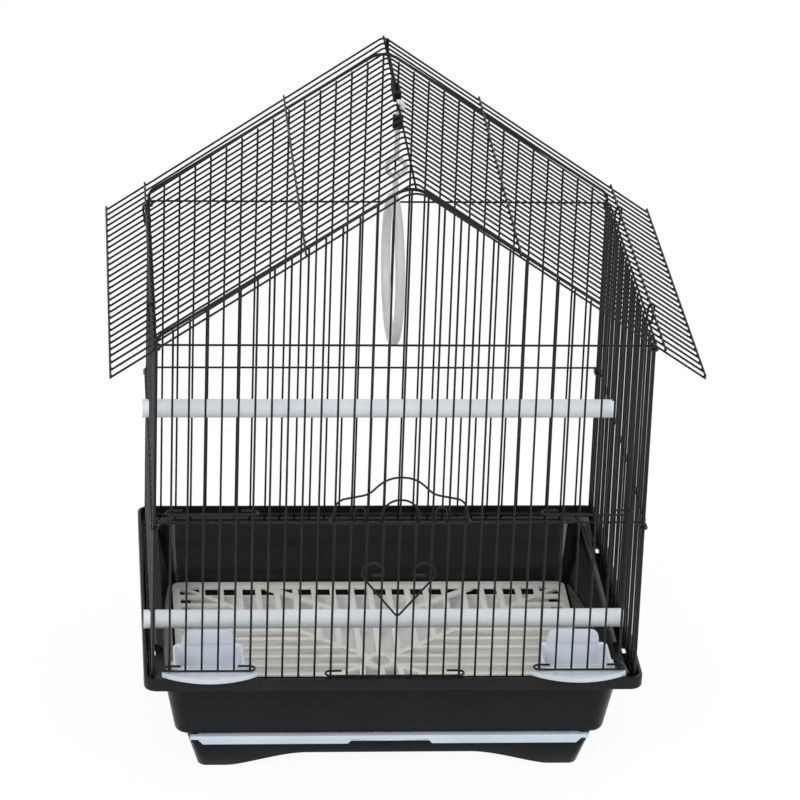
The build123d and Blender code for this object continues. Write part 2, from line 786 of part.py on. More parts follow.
# Cups
with BuildPart() as right_cup:
    with BuildSketch(Plane.XY.offset(cup_seat)):
        with Locations((cup_offset, 0)):
            with BuildLine():
                half_flange = cup_flange_width / 2
                inside_y = -(upright_y + wire_radius + moving_gap)
                ThreePointArc(
                    (cup_offset - half_flange, -cup_flange_end),
                    (cup_offset, -cup_flange_bulge),
                    (cup_offset + half_flange, -cup_flange_end),
                )
                Line((cup_offset + half_flange, -cup_flange_end), (cup_offset + half_flange, inside_y))
                Line((cup_offset + half_flange, inside_y), (cup_offset - half_flange, inside_y))
                Line((cup_offset - half_flange, inside_y), (cup_offset - half_flange, -cup_flange_end))
            make_face()
        neck_end = -cup_body_front + 2 * cup_wall
        with Locations((cup_offset, (inside_y + neck_end) / 2)):
            Rectangle(cup_neck_width, neck_end - inside_y)
    extrude(amount=cup_flange_thickness)
    fillet(right_cup.faces().sort_by(Axis.Z)[-1].edges().filter_by(GeomType.CIRCLE), 1.2)

    body_depth = cup_body_front - cup_body_rear
    body_middle = (cup_offset, -(cup_body_front + cup_body_rear) / 2)
    with BuildPart(mode=Mode.PRIVATE) as cup_body:
        with BuildSketch(Plane.XY.offset(cup_bottom)):
            with Locations(body_middle):
                RectangleRounded(cup_body_width - cup_body_taper, body_depth - cup_body_taper, cup_corner)
        with BuildSketch(Plane.XY.offset(cup_top)):
            with Locations(body_middle):
                RectangleRounded(cup_body_width, body_depth, cup_corner)
        loft()
    add(cup_body.part)
    with BuildSketch(Plane.XZ.offset(cup_body_rear)):
        with Locations((cup_offset, cup_seat + (cup_guard_height - cup_body_depth / 2) / 2)):
            RectangleRounded(cup_guard_width, cup_guard_height + cup_body_depth / 2, cup_guard_corner)
    extrude(amount=cup_wall + cup_body_taper / 4)
    with BuildPart(mode=Mode.PRIVATE) as cup_hollow:
        with BuildSketch(Plane.XY.offset(cup_bottom + cup_wall)):
            with Locations(body_middle):
                RectangleRounded(
                    cup_body_width - cup_body_taper - 2 * cup_wall,
                    body_depth - cup_body_taper - 2 * cup_wall,
                    cup_corner - cup_wall,
                )
        with BuildSketch(Plane.XY.offset(cup_top)):
            with Locations(body_middle):
                RectangleRounded(
                    cup_body_width - 2 * cup_wall,
                    body_depth - 2 * cup_wall,
                    cup_corner - cup_wall,
                )
        loft()
    add(cup_hollow.part, mode=Mode.SUBTRACT)
export_piece(right_cup.part, "right_cup")

with BuildPart() as left_cup:
    mirror(right_cup.part, about=Plane.YZ)
export_piece(left_cup.part, "left_cup")


# Perches
def perch(wire_index, level):
    """A rod across the cage whose slotted ends straddle an upright on each side."""
    y = side_wire_y(wire_index)
    slot_depth = perch_length / 2 - side_x + wire_radius + perch_slot_play
    with BuildPart() as rod:
        with BuildSketch(Plane.YZ.offset(-perch_length / 2)):
            with Locations((y, level)):
                Circle(perch_diameter / 2)
        extrude(amount=perch_length)
        fillet(rod.edges().filter_by(GeomType.CIRCLE), perch_end_round)
        with BuildSketch(Plane.XY.offset(level)):
            for side in (-1, 1):
                with Locations((side * (perch_length / 2 - slot_depth / 2), y)):
                    Rectangle(slot_depth, wire_diameter + perch_slot_play)
        extrude(amount=perch_diameter, both=True, mode=Mode.SUBTRACT)
    return rod.part


upper_perch_level = mid_level + wire_radius + perch_diameter / 2
export_piece(perch(lower_perch_index, rim_top + lower_perch_height), "lower_perch")
export_piece(perch(upper_perch_index, upper_perch_level), "upper_perch")

# Swing
swing_y = (side_wire_y(swing_gap_index) + side_wire_y(swing_gap_index + 1)) / 2
hook_radius = swing_hook_wire / 2
hook_turn_radius = wire_radius + link_gap + hook_radius
eye_level = rim_top + swing_eye_height
stem_foot = eye_level + swing_eye_radius
with BuildPart() as swing_hook:
    with BuildLine(Plane.XZ.offset(-swing_y)) as hook_path:
        FilletPolyline(
            (0, stem_foot),
            (0, rim_top + swing_stem_top),
            (hook_turn_radius, rim_top + swing_stem_top + hook_turn_radius * 1.2),
            (hook_turn_radius, ridge_level),
            radius=swing_hook_bend / 2,
        )
        CenterArc((0, ridge_level), hook_turn_radius, 0, swing_mouth_angle)
    add_bent_wire(hook_path, swing_hook_wire)
    with Locations(Plane(origin=(0, swing_y, eye_level), z_dir=(0, 1, 0)).location):
        Torus(swing_eye_radius, swing_eye_section / 2)
export_piece(swing_hook.part, "swing_hook")

with BuildPart() as swing_collar:
    with BuildSketch(Plane.XY.offset(rim_top + collar_bottom)):
        with Locations((0, swing_y)):
            Circle(collar_diameter / 2)
            Circle(hook_radius + shaft_gap, mode=Mode.SUBTRACT)
    extrude(amount=collar_height)
export_piece(swing_collar.part, "swing_collar")

eye_bar_level = eye_level - swing_eye_radius
hoop_eye_level = eye_bar_level + swing_eye_section / 2 + link_gap - hoop_eye_inside
hoop_level = rim_top + hoop_height
hoop_facing = (cos(radians(hoop_turn)), sin(radians(hoop_turn)), 0)
with BuildPart() as swing_hoop:
    with Locations(Plane(origin=(0, swing_y, hoop_level), z_dir=hoop_facing).location):
        Torus(hoop_radius, hoop_section / 2)
    with Locations(Plane(origin=(0, swing_y, hoop_eye_level), z_dir=hoop_facing).location):
        Torus(hoop_eye_inside + hoop_eye_section / 2, hoop_eye_section / 2)
    neck_top = hoop_eye_level - hoop_eye_inside - hoop_eye_section / 2
    add_wire((0, swing_y, hoop_level + hoop_radius), (0, swing_y, neck_top), hoop_neck_diameter)
export_piece(swing_hoop.part, "swing_hoop")

# Hanger: a saddle on the ridge wire, a cross pin and a hook that folds back along the ridge
saddle_bottom = roof_top + wire_radius + shaft_gap
slot_floor = ridge_level + wire_radius + shaft_gap + hanger_web
shank_level = slot_floor + moving_gap + hanger_wire / 2
pin_level = slot_floor + moving_gap + hanger_eye_diameter / 2
saddle_length = hanger_saddle_rear - hanger_saddle_front
saddle_middle = (hanger_saddle_rear + hanger_saddle_front) / 2
ear_gap = hanger_saddle_width - 2 * hanger_ear
with BuildPart() as hanger_saddle:
    with BuildSketch(Plane.XY.offset(saddle_bottom)):
        with Locations((0, saddle_middle)):
            RectangleRounded(hanger_saddle_width, saddle_length, hanger_ear)
    extrude(amount=hanger_saddle_height)
    with BuildSketch(Plane.XZ.offset(-hanger_saddle_front)):
        with Locations((0, ridge_level)):
            Circle(wire_radius + shaft_gap)
        with Locations((0, (ridge_level + saddle_bottom) / 2)):
            Rectangle(wire_diameter + 2 * shaft_gap, ridge_level - saddle_bottom)
    extrude(amount=-saddle_length, mode=Mode.SUBTRACT)
    with BuildSketch(Plane.XY.offset(slot_floor)):
        slot_front = hanger_pin_place - hanger_eye_diameter / 2 - moving_gap
        with Locations((0, (slot_front + hanger_saddle_rear) / 2)):
            Rectangle(ear_gap, hanger_saddle_rear - slot_front)
    extrude(amount=hanger_saddle_height, mode=Mode.SUBTRACT)
    with BuildSketch(Plane.YZ.offset(-hanger_saddle_width / 2)):
        with Locations((hanger_pin_place, pin_level)):
            Circle(hanger_pin_diameter / 2)
    extrude(amount=hanger_saddle_width, mode=Mode.SUBTRACT)
export_piece(hanger_saddle.part, "hanger_saddle")

with BuildPart() as hanger_pin:
    add_wire(
        (-hanger_saddle_width / 2, hanger_pin_place, pin_level),
        (hanger_saddle_width / 2, hanger_pin_place, pin_level),
        hanger_pin_diameter,
    )
export_piece(hanger_pin.part, "hanger_pin")

with BuildPart() as hanging_hook:
    with BuildLine(Plane.YZ) as shank_path:
        crook_level = shank_level + 2 * hanger_crook_radius
        Line((hanger_pin_place, shank_level), (hanger_reach, shank_level))
        ThreePointArc(
            (hanger_reach, shank_level),
            (hanger_reach + hanger_crook_radius, shank_level + hanger_crook_radius),
            (hanger_reach, crook_level),
        )
        Line((hanger_reach, crook_level), (hanger_reach - hanger_tip, crook_level))
    add_bent_wire(shank_path, hanger_wire)
    eye_width = ear_gap - 2 * shaft_gap
    with BuildSketch(Plane.YZ.offset(-eye_width / 2)):
        with Locations((hanger_pin_place, pin_level)):
            Circle(hanger_eye_diameter / 2)
    extrude(amount=eye_width)
    with BuildSketch(Plane.YZ.offset(-eye_width / 2)):
        with Locations((hanger_pin_place, pin_level)):
            Circle(hanger_pin_diameter / 2 + shaft_gap)
    extrude(amount=eye_width, mode=Mode.SUBTRACT)
export_piece(hanging_hook.part, "hanging_hook")

print("rim top", rim_top, "ridge level", round(ridge_level, 2), "hook top", round(crook_level + hanger_wire / 2, 2))
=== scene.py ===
# %% [markdown]
# # A budgie cage in wire and moulded plastic
# The cage was built first as exact solids. This lesson loads them as a fixed frame, in metres,
# and dresses them: round wires with their welds, moulded plastic with soft edges, and the light
# of a product photograph. Each step says what the real thing is and how it can be made.

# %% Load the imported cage
import bpy
from math import atan2, asin, cos, degrees, hypot, pi, radians, sin, sqrt, tan
from mathutils import Matrix, Vector


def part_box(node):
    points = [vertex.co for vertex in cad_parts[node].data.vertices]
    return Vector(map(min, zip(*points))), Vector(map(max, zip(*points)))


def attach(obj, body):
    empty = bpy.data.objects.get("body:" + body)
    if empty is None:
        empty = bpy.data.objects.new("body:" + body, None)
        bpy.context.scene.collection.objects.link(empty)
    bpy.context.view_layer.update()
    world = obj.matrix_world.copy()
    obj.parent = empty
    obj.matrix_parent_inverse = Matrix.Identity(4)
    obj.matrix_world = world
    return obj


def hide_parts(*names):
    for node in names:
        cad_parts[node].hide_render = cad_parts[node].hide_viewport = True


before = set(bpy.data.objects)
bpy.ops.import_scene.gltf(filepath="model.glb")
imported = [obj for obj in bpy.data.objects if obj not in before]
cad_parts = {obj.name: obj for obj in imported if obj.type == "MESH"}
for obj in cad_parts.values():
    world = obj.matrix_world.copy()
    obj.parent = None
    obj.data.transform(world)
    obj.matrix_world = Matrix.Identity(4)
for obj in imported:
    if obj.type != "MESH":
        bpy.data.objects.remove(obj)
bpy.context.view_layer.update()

print("nodes:", len(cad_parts))

# %% [markdown]
# ## The camera
# The photograph was taken a little above the roof and slightly from the left, from far away,
# so a long lens is right: it keeps the posts nearly parallel. A camera looks along its own -Z,
# so its matrix is built from the right, up and backward directions and its place.

# %% Camera
camera_place = Vector((-0.22286, -2.64043, 1.38918))
camera_yaw = radians(5.009)
camera_pitch = radians(23.656)
camera_roll = radians(2.051)
picture_width = 800
focal_length_pixels = 4192.02
sensor_width = 36
camera_lens = sensor_width * focal_length_pixels / picture_width

forward = Vector((
    sin(camera_yaw) * cos(camera_pitch), cos(camera_yaw) * cos(camera_pitch), -sin(camera_pitch)))
level_right = Vector((cos(camera_yaw), -sin(camera_yaw), 0))
level_up = level_right.cross(forward)
camera_right = level_right * cos(camera_roll) + level_up * sin(camera_roll)
camera_up = level_up * cos(camera_roll) - level_right * sin(camera_roll)

camera_data = bpy.data.cameras.new("camera")
camera_data.lens = camera_lens
camera_data.sensor_width = sensor_width
camera_data.clip_end = 100
camera = bpy.data.objects.new("camera", camera_data)
camera.matrix_world = Matrix((
    (camera_right.x, camera_up.x, -forward.x, camera_place.x),
    (camera_right.y, camera_up.y, -forward.y, camera_place.y),
    (camera_right.z, camera_up.z, -forward.z, camera_place.z),
    (0, 0, 0, 1),
))
bpy.context.scene.collection.objects.link(camera)
bpy.context.scene.camera = camera
print("lens in mm:", round(camera_lens, 1))

# %% [markdown]
# ## Measures
# Most places are read from the frame's own boxes, so the wires land where the solids are.
# The few sizes that a box can't tell, such as the pitch of the wires, are named here. The wires
# lie as far apart as the solids' 1.7 mm wires, with lumps of weld and coat at the crossings, but
# between the crossings the photograph shows them thinner, so they are drawn thinner.

# %% Measures
MM = 0.001
tiny = 0.001 * MM

wire = 0.85 * MM
bare_wire = 0.73 * MM
bare_side_wire = 0.8 * MM
post_wire = 1.3 * MM
bare_post = 1.1 * MM

tub_low, tub_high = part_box("base_tub")
post_low, post_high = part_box("front_frame")
ridge_low, ridge_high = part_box("ridge_wire")
rim_top = tub_high.z
wire_foot = post_low.z
mid_level = rim_top + 113 * MM
eave_level = rim_top + 241 * MM
wall_levels = (wire_foot + wire, mid_level, eave_level)
side_x = post_high.x - post_wire
rail_x = side_x + 2 * wire
upright_y = 132 * MM
cross_y = upright_y - 2 * wire
frame_y = cross_y + wire + post_wire
print("rim", round(rim_top, 4), "eave", round(eave_level, 4), "post at", round(side_x, 4))

# %% Pitch of the wires
front_gaps = 30
side_gaps = 24
side_span = 252.8 * MM


def front_wire_x(index):
    """Place of an upright in the front or rear wall, counted from the left post."""
    return -side_x + index * 2 * side_x / front_gaps


def side_wire_y(index):
    """Place of an upright in a side wall, counted from the front."""
    return -side_span / 2 + index * side_span / side_gaps


# %% [markdown]
# ## Black coated wire
# The real wires are steel with a thin black plastic coat. The coat is glossy but never even:
# it is a little thicker at the welds and has fine dimples. A dark base, a roughness that
# wanders with a noise, and a fine bump give that without any picture file.

# %% A helper for materials
def new_finish(name):
    """A new node material with its main shader, its nodes and its links."""
    material = bpy.data.materials.new(name)
    material.use_nodes = True
    tree = material.node_tree
    return material, tree.nodes["Principled BSDF"], tree.nodes, tree.links


def noise_of(nodes, links, scale, detail=4.0, stretch=(1, 1, 1)):
    """A noise in the object's own coordinates; scale is counted per metre."""
    place = nodes.new("ShaderNodeTexCoord")
    mapping = nodes.new("ShaderNodeMapping")
    mapping.inputs["Scale"].default_value = stretch
    noise = nodes.new("ShaderNodeTexNoise")
    noise.inputs["Scale"].default_value = scale
    noise.inputs["Detail"].default_value = detail
    links.new(place.outputs["Object"], mapping.inputs["Vector"])
    links.new(mapping.outputs["Vector"], noise.inputs["Vector"])
    return noise.outputs["Fac"]


def ramp_of(nodes, links, value, stops):
    """A colour ramp over a value, from two stops, each a place and a colour."""
    ramp = nodes.new("ShaderNodeValToRGB")
    for element, (place, colour) in zip(ramp.color_ramp.elements, stops):
        element.position = place
        element.color = (*colour, 1)
    links.new(value, ramp.inputs["Fac"])
    return ramp.outputs["Color"]


def spread_of(nodes, links, value, low, high, start=0.3, end=0.7):
    """A value moved into a new range."""
    spread = nodes.new("ShaderNodeMapRange")
    spread.inputs["From Min"].default_value = start
    spread.inputs["From Max"].default_value = end
    spread.inputs["To Min"].default_value = low
    spread.inputs["To Max"].default_value = high
    links.new(value, spread.inputs["Value"])
    return spread.outputs["Result"]


def bump_of(nodes, links, value, depth, strength=1.0):
    """A bump from a value; depth is in metres."""
    bump = nodes.new("ShaderNodeBump")
    bump.inputs["Distance"].default_value = depth
    bump.inputs["Strength"].default_value = strength
    links.new(value, bump.inputs["Height"])
    return bump.outputs["Normal"]


# %% Black wire coat
black_wire, shader, nodes, links = new_finish("black_wire_coat")
coat_dark, coat_light = (0.005, 0.0055, 0.0065), (0.01, 0.01, 0.0108)
coat_cloud = noise_of(nodes, links, 90)
coat_tint = ramp_of(nodes, links, coat_cloud, [(0.3, coat_dark), (0.7, coat_light)])
links.new(coat_tint, shader.inputs["Base Color"])
coat_rub = noise_of(nodes, links, 700)
links.new(spread_of(nodes, links, coat_rub, 0.28, 0.46), shader.inputs["Roughness"])
shader.inputs["Specular IOR Level"].default_value = 0.25
coat_dimples = noise_of(nodes, links, 1500, 3)
links.new(bump_of(nodes, links, coat_dimples, 0.04 * MM, 0.5), shader.inputs["Normal"])
print("made", black_wire.name)

# %% [markdown]
# ## Moulded plastics
# The base is glossy black polystyrene, the tray a bluish white, the grille a warm pale grey,
# and the cups, perches and swing a clean white; the swing and the cups' flanges are drawn darker
# as painted shade. Moulded parts show a faint orange-peel, small clouds of colour and fine rubbing
# marks, so every one of them mixes two noises.

# %% A recipe for moulded plastic
def moulded_plastic(name, dark, light, rough, gloss=0.5, peel=0.05 * MM):
    """Moulded plastic: two close colours in clouds, uneven gloss and a fine orange-peel."""
    material, shader, nodes, links = new_finish(name)
    clouds = noise_of(nodes, links, 25, 5)
    links.new(ramp_of(nodes, links, clouds, [(0.3, dark), (0.7, light)]), shader.inputs["Base Color"])
    shader.inputs["Specular IOR Level"].default_value = gloss
    rubbed = noise_of(nodes, links, 60, 6, (1, 1, 2))
    links.new(spread_of(nodes, links, rubbed, *rough), shader.inputs["Roughness"])
    grain = noise_of(nodes, links, 1200, 2)
    links.new(bump_of(nodes, links, grain, peel, 0.6), shader.inputs["Normal"])
    print("made", name)
    return material


# %% [markdown]
# The blacks differ more in how they shine than in colour. The rim is a little lighter, a painted sheen,
# the tub's inner walls are almost mirrors, and the ridge rod, hook and collar are dull.

# %% Black plastics
tub_dark, tub_light = (0.002, 0.0024, 0.003), (0.004, 0.0046, 0.0056)
black_plastic = moulded_plastic(
    "black_base_plastic", (0.0026, 0.0032, 0.0038), (0.0052, 0.006, 0.007), (0.24, 0.34), 0.15)
# The rim's lighter black is a painted sheen: the light the rim catches, put into its colour.
rim_painted_sheen_plastic = moulded_plastic(
    "black_rim_painted_sheen", (0.01, 0.01, 0.01), (0.015, 0.015, 0.0148), (0.24, 0.34), 0.15)
inside_plastic = moulded_plastic(
    "black_tub_inside", tub_dark, tub_light, (0.08, 0.16), 0.32, 0.01 * MM)
side_plastic = moulded_plastic(
    "black_tub_side", tub_dark, tub_light, (0.02, 0.05), 0.09, 0.002 * MM)
collar_plastic = moulded_plastic(
    "black_collar_plastic", (0.003, 0.003, 0.003), (0.008, 0.008, 0.008), (0.5, 0.7), 0.1)
dull_black = moulded_plastic(
    "black_hanger_lacquer", (0.003, 0.003, 0.0034), (0.007, 0.007, 0.0075), (0.55, 0.75), 0.08)

# %% Pale plastics
tray_plastic = moulded_plastic(
    "bluish_tray_plastic", (0.56, 0.66, 0.76), (0.63, 0.72, 0.81), (0.32, 0.46))
pan_plastic = moulded_plastic(
    "grey_pan_plastic", (0.7, 0.73, 0.72), (0.79, 0.82, 0.8), (0.32, 0.46))
grille_plastic = moulded_plastic(
    "pale_grille_plastic", (0.75, 0.74, 0.68), (0.83, 0.82, 0.76), (0.4, 0.6))
cup_plastic = moulded_plastic(
    "white_cup_plastic", (0.66, 0.72, 0.79), (0.74, 0.79, 0.85), (0.22, 0.36))
# A darker copy of the cup plastic for the flange: painted shade on its upward face.
cup_flange_painted_shade = moulded_plastic(
    "white_cup_painted_shade", (0.51, 0.57, 0.63), (0.58, 0.63, 0.69), (0.22, 0.36))
perch_plastic = moulded_plastic(
    "white_perch_plastic", (0.7, 0.76, 0.8), (0.78, 0.82, 0.85), (0.35, 0.5))
# The swing's white is drawn grey: painted shade for where it hangs under the roof.
swing_painted_shade_plastic = moulded_plastic(
    "white_swing_painted_shade", (0.56, 0.58, 0.58), (0.65, 0.66, 0.66), (0.25, 0.4))

# %% [markdown]
# ## Tools for wires
# A straight wire is a cylinder laid between two points. A bent wire is drawn as a bender makes
# it: a round section is pushed along each straight and spun round each bend, so every curve is a
# true arc. Corner points and a bend radius are enough, and the tangent points follow from them.
# Curves with a bevel would also do, but the spun tube keeps its section exactly round.

# %% Start a piece
def leave_edit_mode():
    """Back to object mode, with nothing selected."""
    if bpy.context.mode != "OBJECT":
        bpy.ops.object.mode_set(mode="OBJECT")
    bpy.ops.object.select_all(action="DESELECT")


def edit_piece(piece):
    """Opens the mesh of one piece alone in edit mode."""
    leave_edit_mode()
    bpy.context.view_layer.objects.active = piece
    piece.select_set(True)
    bpy.ops.object.mode_set(mode="EDIT")


def open_piece(name, mesh=None):
    """A new piece, empty or from a mesh, open in edit mode and ready to take primitives."""
    piece = bpy.data.objects.new(name, mesh or bpy.data.meshes.new(name))
    bpy.context.scene.collection.objects.link(piece)
    edit_piece(piece)
    return piece


# %% Finish a piece
def clean_mesh(piece):
    """Merges doubled points and turns all faces outwards; ends in object mode, with the piece active."""
    edit_piece(piece)
    bpy.ops.mesh.select_all(action="SELECT")
    bpy.ops.mesh.remove_doubles(threshold=tiny)
    bpy.ops.mesh.normals_make_consistent(inside=False)
    bpy.ops.object.mode_set(mode="OBJECT")


def close_piece(piece, body, finish, slot, *nodes, ease=0.25 * MM, segments=2, sharp=58, smooth=50):
    """Eases the sharp edges, shades the rest smooth and hangs the piece on its body."""
    clean_mesh(piece)
    if ease:
        bevel = piece.modifiers.new("eased_edges", "BEVEL")
        bevel.width = ease
        bevel.segments = segments
        bevel.limit_method = "ANGLE"
        bevel.angle_limit = radians(sharp)
        bevel.use_clamp_overlap = True
        bpy.ops.object.modifier_apply(modifier=bevel.name)
    bpy.ops.object.shade_smooth_by_angle(angle=radians(smooth))
    piece.data.materials.clear()
    piece.data.materials.append(finish)
    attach(piece, body)
    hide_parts(*nodes)
    print(piece.name, "faces", len(piece.data.polygons))
    return piece


def close_wires(piece, body, node, finish=black_wire, **easing):
    """Finishes a piece that is made of coated wire."""
    return close_piece(piece, body, finish, "black_wire", node, **easing)


# %% Lay and bend wires
weld = 0.86 * MM


def lay_wire(start, end, radius=bare_wire, sides=12):
    """A straight round wire between two points."""
    start, end = Vector(start), Vector(end)
    run = end - start
    bpy.ops.mesh.primitive_cylinder_add(
        vertices=sides, radius=radius, depth=run.length,
        location=(start + end) / 2, rotation=run.to_track_quat("Z", "Y").to_euler())


def drop_weld(place, size=weld):
    """The small lump where two wires are welded."""
    bpy.ops.mesh.primitive_uv_sphere_add(segments=8, ring_count=5, radius=size, location=place)


def rounded_route(corners, bends):
    """Turns corner points and bend radii into straight and round steps."""
    corners = [Vector(corner) for corner in corners]
    steps = []
    for before, corner, after, bend in zip(corners, corners[1:], corners[2:], bends):
        inward = (corner - before).normalized()
        outward = (after - corner).normalized()
        turn = inward.angle(outward)
        axis = inward.cross(outward).normalized()
        arc_start = corner - inward * bend * tan(turn / 2)
        steps.append(("line", arc_start))
        steps.append(("arc", arc_start + axis.cross(inward) * bend, turn, axis))
    steps.append(("line", corners[-1]))
    return corners[0], steps


def bend_wire(start, steps, radius=bare_wire, sides=12, closed=False, fineness=11):
    """Pushes a round section along the straight steps and spins it round the others."""
    here = Vector(start)
    first = steps[0]
    if first[0] == "line":
        heading = (Vector(first[1]) - here).normalized()
    else:
        heading = (Vector(first[3]).cross(here - Vector(first[1]))).normalized()
    bpy.ops.mesh.primitive_circle_add(
        vertices=sides, radius=radius, fill_type="NOTHING" if closed else "NGON",
        location=here, rotation=heading.to_track_quat("Z", "Y").to_euler())
    for step in steps:
        if step[0] == "line":
            there = Vector(step[1])
            if (there - here).length > tiny:
                bpy.ops.mesh.extrude_region_move(TRANSFORM_OT_translate={"value": there - here})
            here = there
        else:
            centre, turn, axis = Vector(step[1]), step[2], Vector(step[3])
            count = max(2, round(degrees(turn) / fineness))
            bpy.ops.mesh.spin(steps=count, angle=-turn, center=centre, axis=axis)
            here = centre + Matrix.Rotation(turn, 3, axis) @ (here - centre)
    return here


# %% [markdown]
# ## Corner posts and gables
# One thick wire on each end wall rises as the left post, goes over the gable and comes down as
# the right post. It carries the panels, and its three bends are what makes the house shape. The
# photograph shows it nearer the roof and bent more widely at the top than the solid has it, so it is
# raised by 6 mm at the eaves and about 3 mm at the top.

# %% Shape of the gable
slope = radians(34.1)
gable_foot = eave_level + 6 * MM
gable_apex = eave_level + side_x * tan(slope) + 2.8 * MM
gable_slope = atan2(gable_apex - gable_foot, side_x)
gable_bend = 18 * MM
eave_bend = 8 * MM
print("gable slope in degrees:", round(degrees(gable_slope), 1))


# %% Corner posts and gables
def gable_frame(name, end, node):
    """The thick wire of one end wall, as one bent route; end is -1 in front and 1 behind."""
    y = end * frame_y
    piece = open_piece(name)
    corners = [(-side_x, y, wire_foot), (-side_x, y, gable_foot), (0, y, gable_apex),
               (side_x, y, gable_foot), (side_x, y, wire_foot)]
    start, steps = rounded_route(corners, [eave_bend, gable_bend, eave_bend])
    bend_wire(start, steps, bare_post, 16, fineness=6)
    close_wires(piece, "cage", node)


gable_frame("front_post_wire", -1, "front_frame")
gable_frame("rear_post_wire", 1, "rear_frame")

# %% [markdown]
# ## The four walls
# Every wall is a row of thin uprights welded to three cross wires. The uprights of the end walls
# stop under the gable wire, so their heights follow the slope, and those over a doorway start at
# the middle wire. A small lump of weld sits in each crossing: it is what stops the wires from
# looking like loose rods. The side walls' uprights lean by a hair, each its own way, as real ones do.

# %% End walls
main_doorway = (11, 19)
left_cup_doorway, right_cup_doorway = (1, 6), (24, 29)
doorways = (main_doorway, left_cup_doorway, right_cup_doorway)
post_weld = 1.0 * MM


def under_gable(x):
    """Height at which an upright's end meets the gable wire from below."""
    edge = abs(x) + bare_wire
    inner_bend = gable_bend - bare_post
    if edge < inner_bend * sin(gable_slope):
        return gable_apex - gable_bend / cos(gable_slope) + sqrt(inner_bend**2 - edge**2)
    return gable_apex - edge * tan(gable_slope) - bare_post / cos(gable_slope)


def end_wall(name, end, gaps_for_doors, node):
    """Uprights, cross wires and welds of the front or rear wall."""
    piece = open_piece(name)
    xs = [front_wire_x(index) for index in range(1, front_gaps)]
    over_door = [any(first < index < last for first, last in gaps_for_doors)
                 for index in range(1, front_gaps)]
    for x, shortened in zip(xs, over_door):
        foot = mid_level - wire if shortened else wire_foot
        lay_wire((x, end * upright_y, foot), (x, end * upright_y, under_gable(x)))
    reach = side_x + 1.4 * MM
    for level in wall_levels:
        lay_wire((-reach, end * cross_y, level), (reach, end * cross_y, level))
    for x, shortened in zip(xs, over_door):
        for level in wall_levels[1 if shortened else 0:]:
            if under_gable(x) > level:
                drop_weld((x, end * (upright_y + cross_y) / 2, level))
    for side in (-1, 1):
        for level in wall_levels:
            drop_weld((side * side_x, end * (frame_y + cross_y) / 2, level), post_weld)
    close_wires(piece, "cage", node)


end_wall("front_wall_wires", -1, doorways, "front_panel")
end_wall("rear_wall_wires", 1, (), "rear_panel")

# %% Side walls
side_lean = 0.2 * MM
foot_turn, top_turn = 2.4, 4.1


def side_wall(name, side, node):
    """Uprights, rails and welds of one side wall; side is -1 on the left and 1 on the right."""
    piece = open_piece(name)
    for index in range(side_gaps + 1):
        y = side_wire_y(index)
        foot_x = side_x + side_lean * sin(foot_turn * index)
        top_x = side_x + side_lean * sin(top_turn * index)
        lay_wire((side * foot_x, y, wire_foot), (side * top_x, y, eave_level + wire), bare_side_wire)
    reach = side_span / 2 + wire
    for level in wall_levels:
        lay_wire((side * rail_x, -reach, level), (side * rail_x, reach, level))
        for index in range(side_gaps + 1):
            drop_weld((side * (side_x + wire), side_wire_y(index), level))
    close_wires(piece, "cage", node)


side_wall("left_wall_wires", -1, "left_panel")
side_wall("right_wall_wires", 1, "right_panel")

# %% [markdown]
# ## The roof
# The roof is a row of wires bent over the ridge, with long wires lying across them. The front one
# has a wider bend. The others are alike, so one is drawn and the rest are copies moved along the
# ridge, as an array would do; the first rows stand further apart, so each copy gets its own step.

# %% Shape of the roof
roof_apex = gable_apex + 7.8 * MM
ridge_bend = 6 * MM
front_bend = 16 * MM
ridge_level = (ridge_low.z + ridge_high.z) / 2
roof_half_width = 193.5 * MM
porch_step = 11.6 * MM
roof_rows = [side_wire_y(0) - porch_step * (3 - row) for row in range(3)]
roof_rows += [side_wire_y(row) for row in range(side_gaps + 2)]
long_wire_places = (68 * MM, 165 * MM, 192 * MM)
print("bent roof wires:", len(roof_rows))


# %% Roof wires
def on_roof(side, x):
    """Middle of a long wire that lies on the sloping wires."""
    return side * (x + 2 * wire * sin(slope)), roof_apex - x * tan(slope) + 2 * wire * cos(slope)


def half_row(side, row, bend):
    """Half of one bent wire, from its tip up to the middle of the ridge."""
    bend_middle = roof_apex - bend / cos(slope)
    bend_edge = (side * bend * sin(slope), row, bend_middle + bend * cos(slope))
    tip = (side * roof_half_width, row, roof_apex - roof_half_width * tan(slope))
    bend_wire(tip, [("line", bend_edge), ("arc", (0, row, bend_middle), slope, (0, -side, 0))])


def roof_half(name, side, node):
    """One slope: half of every bent wire, the long wires and their welds."""
    piece = open_piece(name)
    half_row(side, roof_rows[1], ridge_bend)
    bpy.ops.mesh.select_all(action="SELECT")
    for before, row in zip(roof_rows[1:], roof_rows[2:]):
        bpy.ops.mesh.duplicate_move(TRANSFORM_OT_translate={"value": (0, row - before, 0)})
    half_row(side, roof_rows[0], front_bend)
    for place in long_wire_places:
        x, level = on_roof(side, place)
        lay_wire((x, ridge_low.y, level), (x, ridge_high.y, level))
        for row in roof_rows:
            drop_weld((x - side * wire * sin(slope), row, level - wire * cos(slope)))
    close_wires(piece, "cage", node)


roof_half("left_roof_wires", -1, "roof_left")
roof_half("right_roof_wires", 1, "roof_right")

# %% Ridge wire
ridge_piece = open_piece("ridge_rod")
lay_wire((0, ridge_low.y, ridge_level), (0, ridge_high.y, ridge_level))
for row in roof_rows:
    drop_weld((0, row, ridge_level - wire))
close_wires(ridge_piece, "cage", "ridge_wire", dull_black)

# %% [markdown]
# ## Rings that tie the panels
# Short rings of wire are squeezed round the posts and the eaves to hold the flat panels together.
# Each is a closed oval: two straights and two half turns.

# %% A helper for rings
ring_wire = 0.8 * MM


